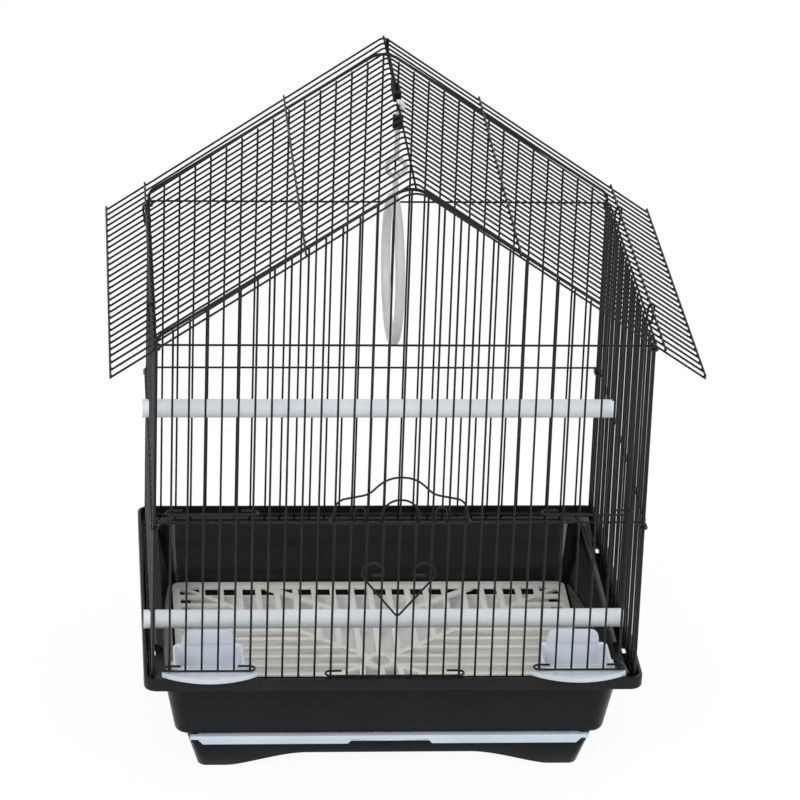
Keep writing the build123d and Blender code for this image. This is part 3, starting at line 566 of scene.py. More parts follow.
def oval_ring(first_end, second_end, across, radius):
    """A closed oval of thin wire: half turns about two ends and straights between them."""
    along = (second_end - first_end).normalized()
    across = Vector(across).normalized()
    axis = across.cross(along)
    bend_wire(first_end + across * radius, [
        ("line", second_end + across * radius),
        ("arc", second_end, pi, axis),
        ("line", first_end - across * radius),
        ("arc", first_end, pi, axis),
    ], ring_wire, 10, closed=True, fineness=20)


# %% Corner rings
corner_piece = open_piece("corner_tie_rings")
tie_radius = post_wire + 0.05 * MM + ring_wire
tie_levels = (rim_top + 110 * MM, rim_top + 239.3 * MM)
end_wire_y = side_wire_y(side_gaps)
for side in (-1, 1):
    for end in (-1, 1):
        for level in tie_levels:
            near, far = sorted((end * end_wire_y, end * frame_y))
            oval_ring(Vector((side * side_x, near, level)), Vector((side * side_x, far, level)),
                      (1, 0, 0), tie_radius)
close_wires(corner_piece, "cage", "corner_clips", ease=0)

# %% Eave rings
roof_piece = open_piece("roof_tie_rings")
clip_radius = 1.9 * MM
clip_y = (side_wire_y(3) + side_wire_y(4)) / 2
for side in (-1, 1):
    long_x, long_level = on_roof(side, long_wire_places[1])
    across = (long_level - eave_level, 0, side * rail_x - long_x)
    for end in (-1, 1):
        on_rail = Vector((side * rail_x, end * clip_y, eave_level))
        on_long_wire = Vector((long_x, end * clip_y, long_level))
        oval_ring(on_rail, on_long_wire, across, clip_radius)
close_wires(roof_piece, "cage", "roof_clips", ease=0)

# %% [markdown]
# ## The doors
# A door is a small panel that slides up. Its two cross wires are bent back round the guide wires
# at both ends, like open hooks, so the door rises and falls but can't come off. The hooks must read
# right up close, so they have the solids' bend; only their ends are a little shorter, as photographed.

# %% Doors
door_y = upright_y + 2 * wire + 0.3 * MM
door_cross_y = door_y + 2 * wire
hook_rear_y = cross_y - wire - 1.05 * MM
hook_bend = 0.99 * (door_cross_y - hook_rear_y) / 2
hook_reach = 3.3 * MM
hook_leg = 7.8 * MM


def lift_door(name, body, doorway, bottom, top, node):
    """A lift-up door between the two guide wires of a doorway."""
    piece = open_piece(name)
    left_x, right_x = (front_wire_x(index) for index in doorway)
    for level in (bottom, top):
        corners = [
            (left_x + hook_leg, -hook_rear_y, level), (left_x - hook_reach, -hook_rear_y, level),
            (left_x - hook_reach, -door_cross_y, level), (right_x + hook_reach, -door_cross_y, level),
            (right_x + hook_reach, -hook_rear_y, level), (right_x - hook_leg, -hook_rear_y, level),
        ]
        start, steps = rounded_route(corners, [hook_bend] * 4)
        bend_wire(start, steps)
    for index in range(doorway[0], doorway[1] + 1):
        x = front_wire_x(index)
        lay_wire((x, -door_y, bottom - wire), (x, -door_y, top + wire))
        for level in (bottom, top):
            drop_weld((x, -(door_y + wire), level))
    close_wires(piece, body, node)


main_bottom, main_top = rim_top + 1.5 * MM, rim_top + 115.1 * MM
cup_bottom, cup_top = rim_top + 5.5 * MM, rim_top + 121 * MM
lift_door("main_door_wires", "main_door_body", main_doorway, main_bottom, main_top, "main_door")
for side_name, doorway in (("left", left_cup_doorway), ("right", right_cup_doorway)):
    door_name = side_name + "_cup_door"
    lift_door(door_name + "_wires", door_name + "_body", doorway, cup_bottom, cup_top, door_name)

# %% [markdown]
# ## Crown and heart
# The main door carries the cage's only ornament: a crown of arches over its top wire and a heart
# in its middle. The heart is one wire: from a curl in each lobe, round the lobe, and straight down
# to the tip. Tangents join the lobes to the straights, so nothing kinks.

# %% Crown
scroll_piece = open_piece("door_scroll_wires")
middle_wire = front_gaps // 2
beside = 2 * wire + 0.1 * MM
leg_foot = main_top - wire
crown_foot = main_top + wire
crown_edge_x = front_wire_x(main_doorway[1]) + beside


def door_bend(half, bends):
    """A wire bent in the door's plane: its right half is given from the foot up, then mirrored."""
    outline = half + [(-x, level) for x, level in reversed(half)]
    start, steps = rounded_route([(x, -door_y, level) for x, level in outline], bends + bends[::-1])
    bend_wire(start, steps)


door_bend([(crown_edge_x, crown_foot), (43 * MM, rim_top + 131 * MM),
           (21.5 * MM, rim_top + 135.3 * MM), (9.5 * MM, rim_top + 147.7 * MM)],
          [8.5 * MM, 14 * MM, 20 * MM])
inner_x = front_wire_x(middle_wire + 1) + beside
door_bend([(inner_x, leg_foot), (inner_x, rim_top + 131.3 * MM)], [inner_x - beside / 4])

# %% Humps beside the crown's arch
hump_inner = front_wire_x(middle_wire + 2) + beside
hump_outer = front_wire_x(middle_wire + 3) - beside
hump_top = rim_top + 126 * MM
for side in (-1, 1):
    hump = [(hump_inner, leg_foot), (hump_inner, hump_top), (hump_outer, hump_top), (hump_outer, leg_foot)]
    start, steps = rounded_route([(side * x, -door_y, level) for x, level in hump],
                                 [0.48 * (hump_outer - hump_inner)] * 2)
    bend_wire(start, steps)
    for x in (hump_inner, hump_outer, inner_x):
        drop_weld((side * x, -(door_y + wire), main_top))
    drop_weld((side * crown_edge_x, -(door_y + wire / 2), crown_foot), 0.95 * MM)

# %% Heart
lobe_x, lobe_level, lobe_radius = 17.25 * MM, rim_top + 78.4 * MM, 7.2 * MM
tip_level, tip_bend = rim_top + 45.8 * MM, 2 * MM
curl_radius, tail = 1.7 * MM, 6 * MM
lobe_up = lobe_level - tip_level
lean = atan2(lobe_up, lobe_x) - asin(lobe_radius / hypot(lobe_x, lobe_up))
lobe_turn = pi / 2 + pi - lean
curl_x = lobe_x - lobe_radius + curl_radius
curl_level = lobe_level - curl_radius
towards_front = Vector((0, -1, 0))


def on_door(x, level):
    """A point in the plane of the door's cross wires."""
    return Vector((x, -door_cross_y, level))


lobe_foot_x, lobe_foot_level = lobe_x + lobe_radius * sin(lean), lobe_level - lobe_radius * cos(lean)
tip_route = rounded_route([
    on_door(-lobe_foot_x, lobe_foot_level), on_door(0, tip_level), on_door(lobe_foot_x, lobe_foot_level),
], [tip_bend])[1]
bend_wire(on_door(-curl_x - tail, curl_level), [
    ("line", on_door(-curl_x, curl_level)),
    ("arc", on_door(-curl_x, lobe_level), pi / 2, towards_front),
    ("arc", on_door(-lobe_x, lobe_level), lobe_turn, towards_front),
    *tip_route,
    ("arc", on_door(lobe_x, lobe_level), lobe_turn, towards_front),
    ("arc", on_door(curl_x, lobe_level), pi / 2, towards_front),
    ("line", on_door(curl_x + tail, curl_level)),
], fineness=9)
drop_weld((0, -(door_y + wire), tip_level + 0.8 * MM))
close_wires(scroll_piece, "main_door_body", "door_scrollwork")

# %% [markdown]
# ## The swing
# A white plastic hook hangs on the ridge wire and a white ring hangs in its eye. The ring is
# moulded with its own small eyelet, which is linked through the hook's eye, so it swings both ways.

# %% Swing hook
collar_low, collar_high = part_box("swing_collar")
swing_y = (collar_low.y + collar_high.y) / 2
hook_wire = 1.8 * MM
over_ridge = wire + 0.1 * MM + hook_wire
eye_level = rim_top + 318 * MM
eye_radius, eye_wire = 6.25 * MM, 1.6 * MM
stem_top = rim_top + 356.2 * MM
stem_bend = 1.5 * MM
hook_piece = open_piece("swing_hook_moulding")
corners = [(0, swing_y, eye_level + eye_radius), (0, swing_y, stem_top),
           (over_ridge, swing_y, stem_top + over_ridge * 1.2), (over_ridge, swing_y, ridge_level)]
start, steps = rounded_route(corners, [stem_bend, stem_bend])
steps.append(("arc", (0, swing_y, ridge_level), radians(108), towards_front))
bend_wire(start, steps, hook_wire, 16)
bpy.ops.mesh.primitive_torus_add(
    location=(0, swing_y, eye_level), rotation=(pi / 2, 0, 0),
    major_radius=eye_radius, minor_radius=eye_wire, major_segments=36, minor_segments=12)
close_piece(hook_piece, "swing_link", swing_painted_shade_plastic, "white_plastic", "swing_hook", ease=0.5 * MM)

# %% Swing ring
hoop_piece = open_piece("swing_ring_moulding")
hoop_level = rim_top + 244.2 * MM
hoop_radius = 49 * MM
hoop_turn = (0, pi / 2, radians(1.4))
eyelet_radius, eyelet_wire = 3.8 * MM, 1.2 * MM
eyelet_level = eye_level - eye_radius + eye_wire + 0.1 * MM - (eyelet_radius - eyelet_wire)
bpy.ops.mesh.primitive_torus_add(
    location=(0, swing_y, hoop_level), rotation=hoop_turn,
    major_radius=hoop_radius, minor_radius=3.25 * MM, major_segments=96, minor_segments=20)
bpy.ops.mesh.primitive_torus_add(
    location=(0, swing_y, eyelet_level), rotation=hoop_turn,
    major_radius=eyelet_radius, minor_radius=eyelet_wire, major_segments=28, minor_segments=12)
lay_wire((0, swing_y, hoop_level + hoop_radius), (0, swing_y, eyelet_level - eyelet_radius), 2.1 * MM, 16)
close_piece(hoop_piece, "swing", swing_painted_shade_plastic, "white_plastic", "swing_hoop", ease=0)

# %% [markdown]
# ## Cutting and joining
# Where one block is cut from another, or grows into it, a boolean does the work. It needs clean
# closed meshes, so both are cleaned first, and the cutter is thrown away afterwards.

# %% Cut away or join
def cut_away(piece, cutter, how="DIFFERENCE"):
    """Cuts one closed mesh from another, or joins it, and removes the cutter."""
    clean_mesh(cutter)
    clean_mesh(piece)
    cut = piece.modifiers.new("cut", "BOOLEAN")
    cut.object = cutter
    cut.operation = how
    cut.solver = "EXACT"
    cut.use_self = how == "UNION"
    bpy.ops.object.modifier_apply(modifier=cut.name)
    bpy.data.objects.remove(cutter)


def add_block(low, high):
    """A rectangular block between two corners, added to the open mesh."""
    low, high = Vector(low), Vector(high)
    middle = (low + high) / 2
    bpy.ops.mesh.primitive_cube_add(size=1, location=middle)
    bpy.ops.transform.resize(value=high - low, center_override=middle)


# %% [markdown]
# ## Perches
# Each perch is a white moulded rod. Its ends are slotted like a clothes peg and pushed over an
# upright on each side. The rod is a cylinder with a slot cut by a block, then eased all round. It is
# drawn half a millimetre thicker in radius than its solid, as it looks in the photograph.

# %% Perches
def perch(name, node):
    """A rod with a slot through each end."""
    low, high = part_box(node)
    middle = (low + high) / 2
    radius = (high.z - low.z) / 2 + 0.5 * MM
    slot_end = side_x - wire - 0.4 * MM
    slot_half = 1.05 * MM
    slots = open_piece(name + "_slots")
    for side in (-1, 1):
        inner, outer = sorted((side * slot_end, side * (high.x + MM)))
        add_block((inner, middle.y - slot_half, middle.z - 2 * radius),
                  (outer, middle.y + slot_half, middle.z + 2 * radius))
    rod = open_piece(name)
    bpy.ops.mesh.primitive_cylinder_add(
        vertices=40, radius=radius, depth=high.x - low.x, location=middle, rotation=(0, pi / 2, 0))
    cut_away(rod, slots)
    close_piece(rod, "cage", perch_plastic, "white_plastic", node, ease=0.7 * MM, segments=3, sharp=40)


perch("lower_perch_rod", "lower_perch")
perch("upper_perch_rod", "upper_perch")

# %% [markdown]
# ## Tools for moulded parts
# A moulded tub or cup is a skin that runs up the outside, over the rim and down the inside. Each
# turn of its section is a rounded rectangle at its own height, so the skin is made by drawing
# those rectangles as rings and bridging each to the next. A plane with bevelled corners gives
# such a ring, and a vertex group remembers it until it is bridged. Two rings on exactly one level
# confuse the bridge, which then crosses over, so the second is nudged by a fiftieth of a millimetre.

# %% Rings
nudge = 0.02 * MM


def add_ring(half_width, half_depth, corner, level, middle=(0, 0), segments=7):
    """A rounded rectangle of edges, kept as a vertex group of the open piece."""
    bpy.ops.mesh.select_all(action="DESELECT")
    centre = (*middle, level)
    bpy.ops.mesh.primitive_plane_add(size=2, location=centre)
    bpy.ops.transform.resize(value=(half_width, half_depth, 1), center_override=centre)
    bpy.ops.mesh.bevel(offset=corner, segments=segments, affect="VERTICES")
    bpy.ops.object.vertex_group_add()
    bpy.ops.object.vertex_group_assign()
    bpy.ops.mesh.delete(type="ONLY_FACE")


def pick_rings(piece, *places):
    """Selects the rings at these places in the piece's list of vertex groups."""
    bpy.ops.mesh.select_all(action="DESELECT")
    for place in places:
        piece.vertex_groups.active_index = place
        bpy.ops.object.vertex_group_select()


# %% Skins
def skin_rings(piece, rings, closed=False, segments=7):
    """Draws the rings and bridges each to the next; an open skin gets a face at both ends."""
    first = len(piece.vertex_groups)
    lowest = min(ring[3] for ring in rings)
    before = None
    for half_width, half_depth, corner, level, *middle in rings:
        if before is not None and abs(level - before) < nudge:
            level += nudge if level < lowest + MM else -nudge
        before = level
        add_ring(half_width, half_depth, corner, level, *middle, segments=segments)
    last = len(piece.vertex_groups) - 1
    for place in range(first, last):
        pick_rings(piece, place, place + 1)
        bpy.ops.mesh.bridge_edge_loops()
    if closed:
        pick_rings(piece, first, last)
        bpy.ops.mesh.bridge_edge_loops()
        return
    for place in (first, last):
        pick_rings(piece, place)
        bpy.ops.mesh.edge_face_add()


# %% Pushed outlines
def pushed_outline(name, outline, push):
    """A closed bar or plate: an outline of points, given in order, filled and pushed one way."""
    bar = open_piece(name)
    bpy.ops.mesh.primitive_circle_add(vertices=len(outline), radius=0.1, fill_type="NGON")
    leave_edit_mode()
    for vertex, place in zip(bar.data.vertices, outline):
        vertex.co = place
    edit_piece(bar)
    bpy.ops.mesh.select_all(action="SELECT")
    bpy.ops.mesh.extrude_region_move(TRANSFORM_OT_translate={"value": push})
    return bar


# %% [markdown]
# ## The tub
# The tub is one moulding of glossy black plastic. Its rim is a channel: an outer skirt, a ledge
# on which the wires stand, and the wall that falls from the ledge to the foot. One closed skin of
# rings follows that section all the way round, and four slots for the latches go through the ledge.

# %% Tub sizes
skirt = 2.3 * MM
tub_wall = 2.2 * MM
ledge_top = rim_top - 5 * MM
under_ledge = ledge_top - 2 * MM
rim_foot = rim_top - 9 * MM
foot_level = tub_low.z
floor_top = foot_level + 2 * MM
rim_half = (tub_high.x, tub_high.y)
rim_corner = 9 * MM
mouth_half = (156.6 * MM, 125.6 * MM)
mouth_corner = 18 * MM
foot_half = (146.5 * MM, 114.5 * MM)
foot_corner = 9 * MM
foot_round = 3.5 * MM
shelf_width = 6 * MM


def wall_ring(level, inward=0.0):
    """The tub wall's ring at a level, moved inwards by an amount."""
    share = (level - foot_level) / (ledge_top - foot_level)
    half_width = foot_half[0] + (mouth_half[0] - foot_half[0]) * share - inward
    half_depth = foot_half[1] + (mouth_half[1] - foot_half[1]) * share - inward
    corner = foot_corner + (mouth_corner - foot_corner) * share - inward
    return half_width, half_depth, corner, level


def rim_ring(inward, level):
    """The rim's ring at a level, moved inwards by an amount."""
    return rim_half[0] - inward, rim_half[1] - inward, rim_corner - inward, level


# %% Base tub
tub_piece = open_piece("black_tub_moulding")
round_1, round_2 = 0.3 * MM, 1.0 * MM
inner_round, mouth_round = 0.4 * MM, 0.6 * MM
skirt_rings = [rim_ring(inward, level) for inward, level in (
    (skirt, rim_foot + round_1), (skirt - round_1, rim_foot),
    (round_2, rim_foot), (round_1, rim_foot + round_1), (0, rim_foot + round_2),
    (0, rim_top - round_2), (round_1, rim_top - round_1), (round_2, rim_top),
    (skirt - inner_round, rim_top), (skirt, rim_top - inner_round),
    (skirt, ledge_top + inner_round), (skirt + inner_round, ledge_top),
)]
half_width, half_depth, corner, level = wall_ring(ledge_top, tub_wall)
mouth_ring = (half_width + mouth_round, half_depth + mouth_round, corner + mouth_round, ledge_top)
inner_rings = [wall_ring(level, inward) for level, inward in (
    (ledge_top - mouth_round, tub_wall), (floor_top + 2 * MM, tub_wall),
    (floor_top + mouth_round, tub_wall + round_1), (floor_top, tub_wall + round_2),
    (floor_top, tub_wall + shelf_width), (foot_level, tub_wall + shelf_width),
)]
foot_rings = []
for turn in (0, 22.5, 45, 67.5, 90):
    rise = foot_round * (1 - cos(radians(turn)))
    foot_rings.append(wall_ring(foot_level + rise, foot_round * (1 - sin(radians(turn)))))
outer_rings = [wall_ring(under_ledge - 0.8 * MM), rim_ring(skirt, under_ledge)]
tub_rings = skirt_rings + [mouth_ring] + inner_rings + foot_rings + outer_rings
skin_rings(tub_piece, tub_rings, closed=True, segments=10)

# %% Latch slots
slot_cutter = open_piece("latch_slots")
slot_x = (rim_half[0] - skirt + mouth_half[0]) / 2
slot_half = (1.3 * MM, 5.5 * MM)
for side in (-1, 1):
    for place in (-86 * MM, 72 * MM):
        add_block((side * slot_x - slot_half[0], place - slot_half[1], under_ledge - 3 * MM),
                  (side * slot_x + slot_half[0], place + slot_half[1], ledge_top + 1 * MM))
cut_away(tub_piece, slot_cutter)
close_piece(tub_piece, "base", black_plastic, "black_plastic", "base_tub", ease=0, smooth=40)

# %% [markdown]
# The tub has four finishes in one mesh. A face gets one by where it is and which way it looks: the
# rim with its painted sheen, the rear wall that faces the viewer, the other inner walls, and the outside.

# %% Tub finishes
rear_finish, rim_sheen_finish, side_finish = 1, 2, 3
for finish in (inside_plastic, rim_painted_sheen_plastic, side_plastic):
    tub_piece.data.materials.append(finish)
for face in tub_piece.data.polygons:
    inwards = face.normal.x * face.center.x + face.normal.y * face.center.y < 0
    # Rim faces take the lighter black, a painted sheen.
    if face.center.z > ledge_top or (not inwards and face.center.z > rim_foot):
        face.material_index = rim_sheen_finish
    elif inwards:
        face.material_index = rear_finish if face.normal.y < -0.9 else side_finish
print("tub finishes:", [material.name for material in tub_piece.data.materials])

# %% [markdown]
# ## The stand
# The tub sits on a low tapered frame. Each side is cut away in a long flat arch with eased
# shoulders, which leaves four wide feet, and the front is open so that the tray slides out.

# %% Stand
stand_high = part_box("base_stand")[1]
stand_wall = 2.6 * MM
stand_top_half = (139.4 * MM, 113 * MM)
stand_foot_half = (131 * MM, 105 * MM)
outer_corner, inner_corner = 6 * MM, 3.4 * MM
foot_edge = 0.6 * MM


def inset_ring(half, inward, corner, level, *middle):
    """A rounded rectangle with the given halves, moved inwards by an amount."""
    return half[0] - inward, half[1] - inward, corner, level, *middle


stand_piece = open_piece("black_stand_moulding")
skin_rings(stand_piece, [
    inset_ring(stand_foot_half, 0, outer_corner, foot_edge),
    inset_ring(stand_top_half, 0, outer_corner, stand_high.z),
    inset_ring(stand_top_half, stand_wall, inner_corner, stand_high.z),
    inset_ring(stand_foot_half, stand_wall, inner_corner, foot_edge),
    inset_ring(stand_foot_half, stand_wall - foot_edge, inner_corner + foot_edge, 0),
    inset_ring(stand_foot_half, foot_edge, outer_corner - foot_edge, 0),
], closed=True)

# %% Arches
arch_rise = 11.5 * MM
arch_steps = 24
arch_reach = 0.2


def arch_outline(half_flat, half_foot):
    """An arch as places along the wall and levels: each shoulder eases down to the floor."""
    shoulder = []
    for step in range(arch_steps + 1):
        share = step / arch_steps
        eased = share * share * (3 - 2 * share)
        shoulder.append((half_flat + (half_foot - half_flat) * share,
                         arch_rise - (arch_rise + 0.8 * MM) * eased))
    shoulder.append((half_foot, -2 * MM))
    return [(-along, level) for along, level in reversed(shoulder)] + shoulder


cut_away(stand_piece, pushed_outline(
    "long_arch", [(x, -arch_reach, z) for x, z in arch_outline(55.5 * MM, 121 * MM)],
    (0, 2 * arch_reach, 0)))
cut_away(stand_piece, pushed_outline(
    "end_arch", [(-arch_reach, y, z) for y, z in arch_outline(40 * MM, 96 * MM)],
    (2 * arch_reach, 0, 0)))

# %% Way and runners for the tray
tray_low, tray_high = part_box("pull_out_tray")
runner_top = tray_low.z - 0.3 * MM
runner_foot = runner_top - 2 * MM
way_half, way_height = 132 * MM, 50 * MM
tray_way = open_piece("tray_way")
add_block((-way_half, -stand_top_half[1] - 8 * MM, runner_top),
          (way_half, -stand_top_half[1] + 8.2 * MM, way_height))
cut_away(stand_piece, tray_way)
taper_x, taper_y = (top - foot for top, foot in zip(stand_top_half, stand_foot_half))
runner_x = stand_foot_half[0] + taper_x * runner_top / stand_high.z - stand_wall
runner_y = stand_foot_half[1] + taper_y * runner_foot / stand_high.z - stand_wall / 2
runners = open_piece("tray_runners")
for side in (-1, 1):
    left, right = sorted((side * (runner_x - 5.5 * MM), side * (runner_x + 0.7 * MM)))
    add_block((left, -runner_y, runner_foot), (right, runner_y, runner_top))
cut_away(stand_piece, runners, "UNION")
close_piece(stand_piece, "base", black_plastic, "black_plastic", "base_stand", ease=0.3 * MM, smooth=40)

# %% [markdown]
# ## The tray
# The tray is a shallow pan with a pale front. The front hangs lower in two long lobes, which are
# what the fingers pull. The pan is an open skin of rings, and the front is a plate pushed out of an
# outline, with its corners and the space between the lobes left out.

# %% Tray pan
pan_wall = 1.6 * MM
pan_edge = 0.3 * MM
pan_front = tray_low.y + 3.6 * MM
pan_half = (131 * MM, (tray_high.y - pan_front) / 2)
pan_middle = (0, (tray_high.y + pan_front) / 2)
pan_floor = tray_low.z + pan_wall
tray_piece = open_piece("pale_tray_moulding")
pan_section = [
    (0.5 * MM, 1.5 * MM, tray_low.z),
    (0, 2 * MM, tray_low.z + 0.5 * MM),
    (0, 2 * MM, tray_high.z - pan_edge),
    (pan_edge, 1.8 * MM, tray_high.z),
    (pan_wall - pan_edge, 2 * MM, tray_high.z),
    (pan_wall, 2 * MM, tray_high.z - pan_edge),
    (pan_wall, 2 * MM, pan_floor + 1 * MM),
    (pan_wall + 1 * MM, 1.5 * MM, pan_floor),
]
skin_rings(tray_piece, [inset_ring(pan_half, *place, pan_middle) for place in pan_section])

# %% Tray front
strip_half = tray_high.x
lobe_outer = strip_half - 5.2 * MM
lobe_inner, lobe_slant = 25.5 * MM, 3.5 * MM
lip_level = tray_high.z - 2.6 * MM
grip_level = tray_high.z - 4 * MM
half_front = [(strip_half, tray_high.z), (strip_half, lip_level), (lobe_outer, lip_level),
              (lobe_outer - lobe_slant, tray_low.z), (lobe_inner + lobe_slant, tray_low.z),
              (lobe_inner, lip_level)]
for share in (0.75, 0.5, 0.25):
    half_front.append((lobe_inner * share, lip_level + (grip_level - lip_level) * (1 - share**2)))
whole_front = half_front + [(0, grip_level)] + [(-x, level) for x, level in reversed(half_front)]
cut_away(tray_piece, pushed_outline(
    "tray_front", [(x, tray_low.y, level) for x, level in whole_front],
    (0, pan_front + 0.1 * MM - tray_low.y, 0)), "UNION")
close_piece(tray_piece, "tray", tray_plastic, "tray_plastic", "pull_out_tray",
            ease=0.35 * MM, segments=3, sharp=35)

# %% Tray finishes
tray_piece.data.materials.append(pan_plastic)
for face in tray_piece.data.polygons:
    if face.center.y > pan_front + 0.5 * MM:
        face.material_index = 1
print("tray finishes:", [material.name for material in tray_piece.data.materials])

# %% [markdown]
# ## The grille
# The grille is one flat moulding with a pattern of slots that meet in a ring. Its pattern is long
# work and the solid already has it exactly, so a merged copy of the solid is used, and a bevel
# gives every bar the soft edges that a moulding has.

# %% Eased copies of flat solids
def eased_copy(name, node, body, finish, slot, ease):
    """A merged copy of a solid, with its flat faces made whole and its edges eased."""
    piece = open_piece(name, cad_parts[node].data.copy())
    bpy.ops.mesh.select_all(action="SELECT")
    bpy.ops.mesh.remove_doubles(threshold=2 * tiny)
    bpy.ops.mesh.dissolve_limited(angle_limit=radians(0.5), delimit=set())
    close_piece(piece, body, finish, slot, node, ease=ease, sharp=40)


eased_copy("floor_grille_moulding", "floor_grille", "base", grille_plastic, "grille_plastic", 0.45 * MM)

# %% [markdown]
# ## The cups
# A cup hangs from a curved flange that the door rests on. Behind the wires it is a small open bowl
# whose front slopes up to the flange, with a taller guard at the back that keeps seed from flying.
# The bowl is a skin of rings, the flange a plate with a bowed front.

# %% Cup sizes
cup_low, cup_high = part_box("right_cup")
cup_x = 125 * MM
cup_wall = 1.5 * MM
cup_taper = 2 * MM
cup_corner = 5.5 * MM
cup_seat = rim_top + 0.3 * MM
bowl_top = cup_seat + 4 * MM
bowl_floor = cup_low.z + cup_wall
cup_rear_y = cup_high.y
cup_front_y = cup_rear_y - 28 * MM
cup_half = (wall_ring(cup_low.z, tub_wall)[0] - 1.55 * MM - cup_x, 14 * MM)
lip_reach = 7.2 * MM
print("cup half width", round(cup_half[0], 4))


def bowl_rings(middle_x, places):
    """Rings of a bowl that narrows downwards; each place is a level, a way inwards and a lip's reach."""
    rings = []
    for level, inward, reach in places:
        inset = cup_taper * (bowl_top - level) / (bowl_top - cup_low.z) + inward
        half_width, half_depth = cup_half[0] - inset, cup_half[1] - inset + reach / 2
        middle = (middle_x, (cup_front_y + cup_rear_y - reach) / 2)
        rings.append((half_width, half_depth, cup_corner - inward, level, middle))
    return rings


# %% Cup bowl
def cup_bowl(name, middle_x):
    """The open bowl, with a lip that reaches forward through the doorway."""
    bowl = open_piece(name)
    skin_rings(bowl, bowl_rings(middle_x, [
        (cup_low.z, 1.2 * MM, 0), (cup_low.z + 0.35 * MM, 0.35 * MM, 0), (cup_low.z + 1.2 * MM, 0, 0),
        (cup_seat + 0.6 * MM, 0, 0), (bowl_top - 0.6 * MM, 0, 6.6 * MM), (bowl_top, 0.5 * MM, lip_reach),
        (bowl_top, cup_wall - 0.4 * MM, lip_reach), (bowl_top - 0.4 * MM, cup_wall, 7 * MM),
        (cup_seat + 0.2 * MM, cup_wall, 0), (bowl_floor + 1.5 * MM, cup_wall, 0),
        (bowl_floor + 0.4 * MM, cup_wall + 0.4 * MM, 0), (bowl_floor, cup_wall + 1.5 * MM, 0),
    ]))
    return bowl


def cup_hollow(middle_x):
    """What is cut out of the bowl again, where the flange has grown into it."""
    hollow = open_piece("cup_hollow")
    inside = cup_wall + 0.05 * MM
    skin_rings(hollow, bowl_rings(middle_x, [
        (bowl_floor + 2 * MM, inside, 0), (cup_seat + 0.2 * MM, inside, 0),
        (bowl_top + 0.2 * MM, inside, lip_reach),
    ]))
    return hollow


# %% Cup guard and flange
guard_half = cup_half[0] - 6.2 * MM
guard_bend = 6 * MM
flange_half = 32 * MM
flange_bow = 10.4 * MM
flange_thickness = 3.2 * MM
neck_half = 25.2 * MM


def cup_guard(middle_x):
    """The guard behind the bowl: an upright plate with rounded upper corners."""
    guard_top = cup_high.z
    half = [(guard_half, cup_seat - 8 * MM), (guard_half, guard_top - guard_bend)]
    for turn in (22.5, 45, 67.5, 90):
        half.append((guard_half - guard_bend * (1 - cos(radians(turn))),
                     guard_top - guard_bend * (1 - sin(radians(turn)))))
    outline = [(-x, level) for x, level in half] + [(x, level) for x, level in reversed(half)]
    behind = cup_rear_y - 2.2 * MM
    return pushed_outline(
        "cup_guard", [(middle_x + x, behind, level) for x, level in outline], (0, 2 * MM, 0))


def cup_flange(middle_x):
    """The flange and neck: a flat plate with a bowed front, on which the door rests."""
    bowed = []
    for step in range(-6, 7):
        share = step / 6
        bowed.append((flange_half * share, cup_low.y + share**2 * flange_bow))
    inside_y = -(upright_y + wire + 0.3 * MM)
    neck = [(flange_half, inside_y), (neck_half, inside_y), (neck_half, cup_front_y + 3 * MM)]
    outline = bowed + neck + [(-x, y) for x, y in reversed(neck)]
    return pushed_outline(
        "cup_flange", [(middle_x + x, y, cup_seat) for x, y in outline], (0, 0, flange_thickness))


# %% Cups
def cup(name, node, side):
    """One cup: bowl, guard, neck and flange joined into one moulding."""
    middle_x = side * cup_x
    bowl = cup_bowl(name, middle_x)
    cut_away(bowl, cup_guard(middle_x), "UNION")
    cut_away(bowl, cup_flange(middle_x), "UNION")
    cut_away(bowl, cup_hollow(middle_x))
    close_piece(bowl, "base", cup_plastic, "white_plastic", node, ease=0.45 * MM, segments=3, sharp=50)
    # The flange's faces take the darker copy of the cup plastic: painted shade.
    bowl.data.materials.append(cup_flange_painted_shade)
    flange_middle = cup_seat + flange_thickness / 2
    for face in bowl.data.polygons:
        if face.center.y < cup_front_y and abs(face.center.z - flange_middle) < 1.8 * MM:
            face.material_index = 1


cup("left_seed_cup", "left_cup", -1)
cup("right_water_cup", "right_cup", 1)

# %% [markdown]
# ## The hanger
# A black saddle sits on the ridge and holds a folded hook, so that the cage can also hang. These
# are small plain parts. The saddle and the swing's collar are eased copies of their solids, and the
# hook and its pin are the solids themselves, all in a dull black.

# %% Hanger and collar
eased_copy("ridge_saddle_moulding", "hanger_saddle", "cage", collar_plastic, "black_plastic", 0.3 * MM)
eased_copy("swing_collar_moulding", "swing_collar", "swing_link", collar_plastic, "black_plastic", 0.6 * MM)


def keep_solid(node, finish):
    """Gives a solid of the frame its finish."""
    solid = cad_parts[node]
    solid.data.materials.clear()
    solid.data.materials.append(finish)


keep_solid("hanger_pin", dull_black)
keep_solid("hanging_hook", dull_black)

# %% [markdown]
# ## Studio
# The photograph is a cut-out on white. A wide pale floor does the same: to the camera it is nearly
# white, by a little light of its own, and it still takes a faint shadow. From below it is clear, so the
# feet and the tray can be looked at. Two big soft lamps from the upper left and right give the plastic
# its long soft highlights, and a weaker one behind lifts the edges.

# %% A helper for floor and world
def seen_by(nodes, links, *kinds):
    """1 for rays of these kinds and 0 for all others."""
    rays = nodes.new("ShaderNodeLightPath")
    seen = rays.outputs[kinds[0]]
    for kind in kinds[1:]:
        either = nodes.new("ShaderNodeMath")
        either.operation = "MAXIMUM"
        links.new(seen, either.inputs[0])
        links.new(rays.outputs[kind], either.inputs[1])
        seen = either.outputs[0]
    return seen


def mixed(nodes, links, share, first, second):
    """A mix of two shaders; a share of 1 is all of the second."""
    mix = nodes.new("ShaderNodeMixShader")
    for source, place in ((share, 0), (first, 1), (second, 2)):
        links.new(source, mix.inputs[place])
    return mix.outputs["Shader"]


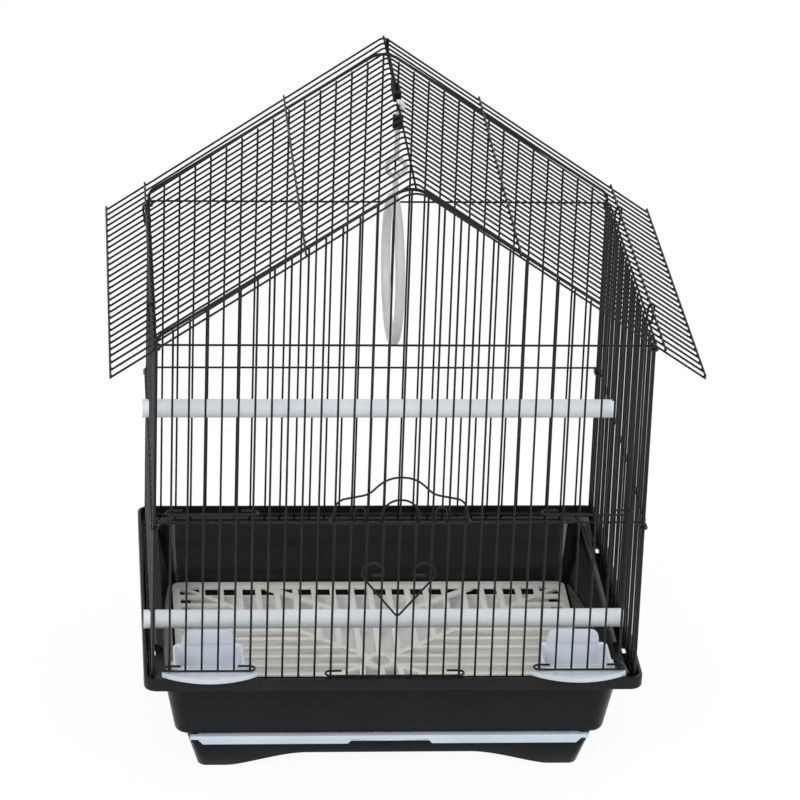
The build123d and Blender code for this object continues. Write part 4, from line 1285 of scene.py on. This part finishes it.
# %% Floor
bpy.ops.object.select_all(action="DESELECT")
bpy.ops.mesh.primitive_plane_add(size=30, location=(0, 0, 0))
floor = bpy.context.object
floor.name = "studio_floor"
floor_finish, shader, nodes, links = new_finish("studio_floor_white")
shader.inputs["Base Color"].default_value = (0.8, 0.8, 0.8, 1)
shader.inputs["Roughness"].default_value = 1.0
shader.inputs["Specular IOR Level"].default_value = 0.0
glow = nodes.new("ShaderNodeEmission")
glow.inputs["Color"].default_value = (1, 1, 1, 1)
glow.inputs["Strength"].default_value = 1.035
glow_share = nodes.new("ShaderNodeMath")
glow_share.operation = "MULTIPLY"
glow_share.inputs[1].default_value = 0.9
seen = seen_by(nodes, links, "Is Camera Ray", "Is Glossy Ray", "Is Transmission Ray")
links.new(seen, glow_share.inputs[0])
clear = nodes.new("ShaderNodeBsdfTransparent").outputs["BSDF"]
from_below = nodes.new("ShaderNodeNewGeometry").outputs["Backfacing"]
upper_side = mixed(nodes, links, glow_share.outputs[0], shader.outputs["BSDF"], glow.outputs["Emission"])
both_sides = mixed(nodes, links, from_below, upper_side, clear)
links.new(both_sides, nodes["Material Output"].inputs["Surface"])
floor.data.materials.append(floor_finish)
print("made", floor.name)

# %% World
world = bpy.data.worlds.new("studio_world")
world.use_nodes = True
bpy.context.scene.world = world
nodes, links = world.node_tree.nodes, world.node_tree.links
sky = nodes["Background"]
sky.inputs["Color"].default_value = (1, 1, 1, 1)
seen = seen_by(nodes, links, "Is Camera Ray", "Is Transmission Ray")
links.new(spread_of(nodes, links, seen, 0.6, 1.0, start=0, end=1), sky.inputs["Strength"])
print("made", world.name)


# %% Lamps
def soft_lamp(name, place, size, power):
    """A square area lamp aimed just below the cage's middle."""
    data = bpy.data.lights.new(name, "AREA")
    data.shape = "SQUARE"
    data.size = size
    data.energy = power
    lamp = bpy.data.objects.new(name, data)
    lamp.location = place
    aim = Vector((0, 0, 0.2)) - Vector(place)
    lamp.rotation_euler = aim.to_track_quat("-Z", "Y").to_euler()
    bpy.context.scene.collection.objects.link(lamp)
    print(name, power, "W")


soft_lamp("key_lamp", (-1.45, -1.9, 1.75), 1.4, 32)
soft_lamp("fill_lamp", (1.75, -1.5, 1.25), 1.6, 19)
soft_lamp("back_lamp", (0.4, 1.8, 1.8), 1.4, 9)
bpy.context.scene.view_settings.view_transform = "Standard"
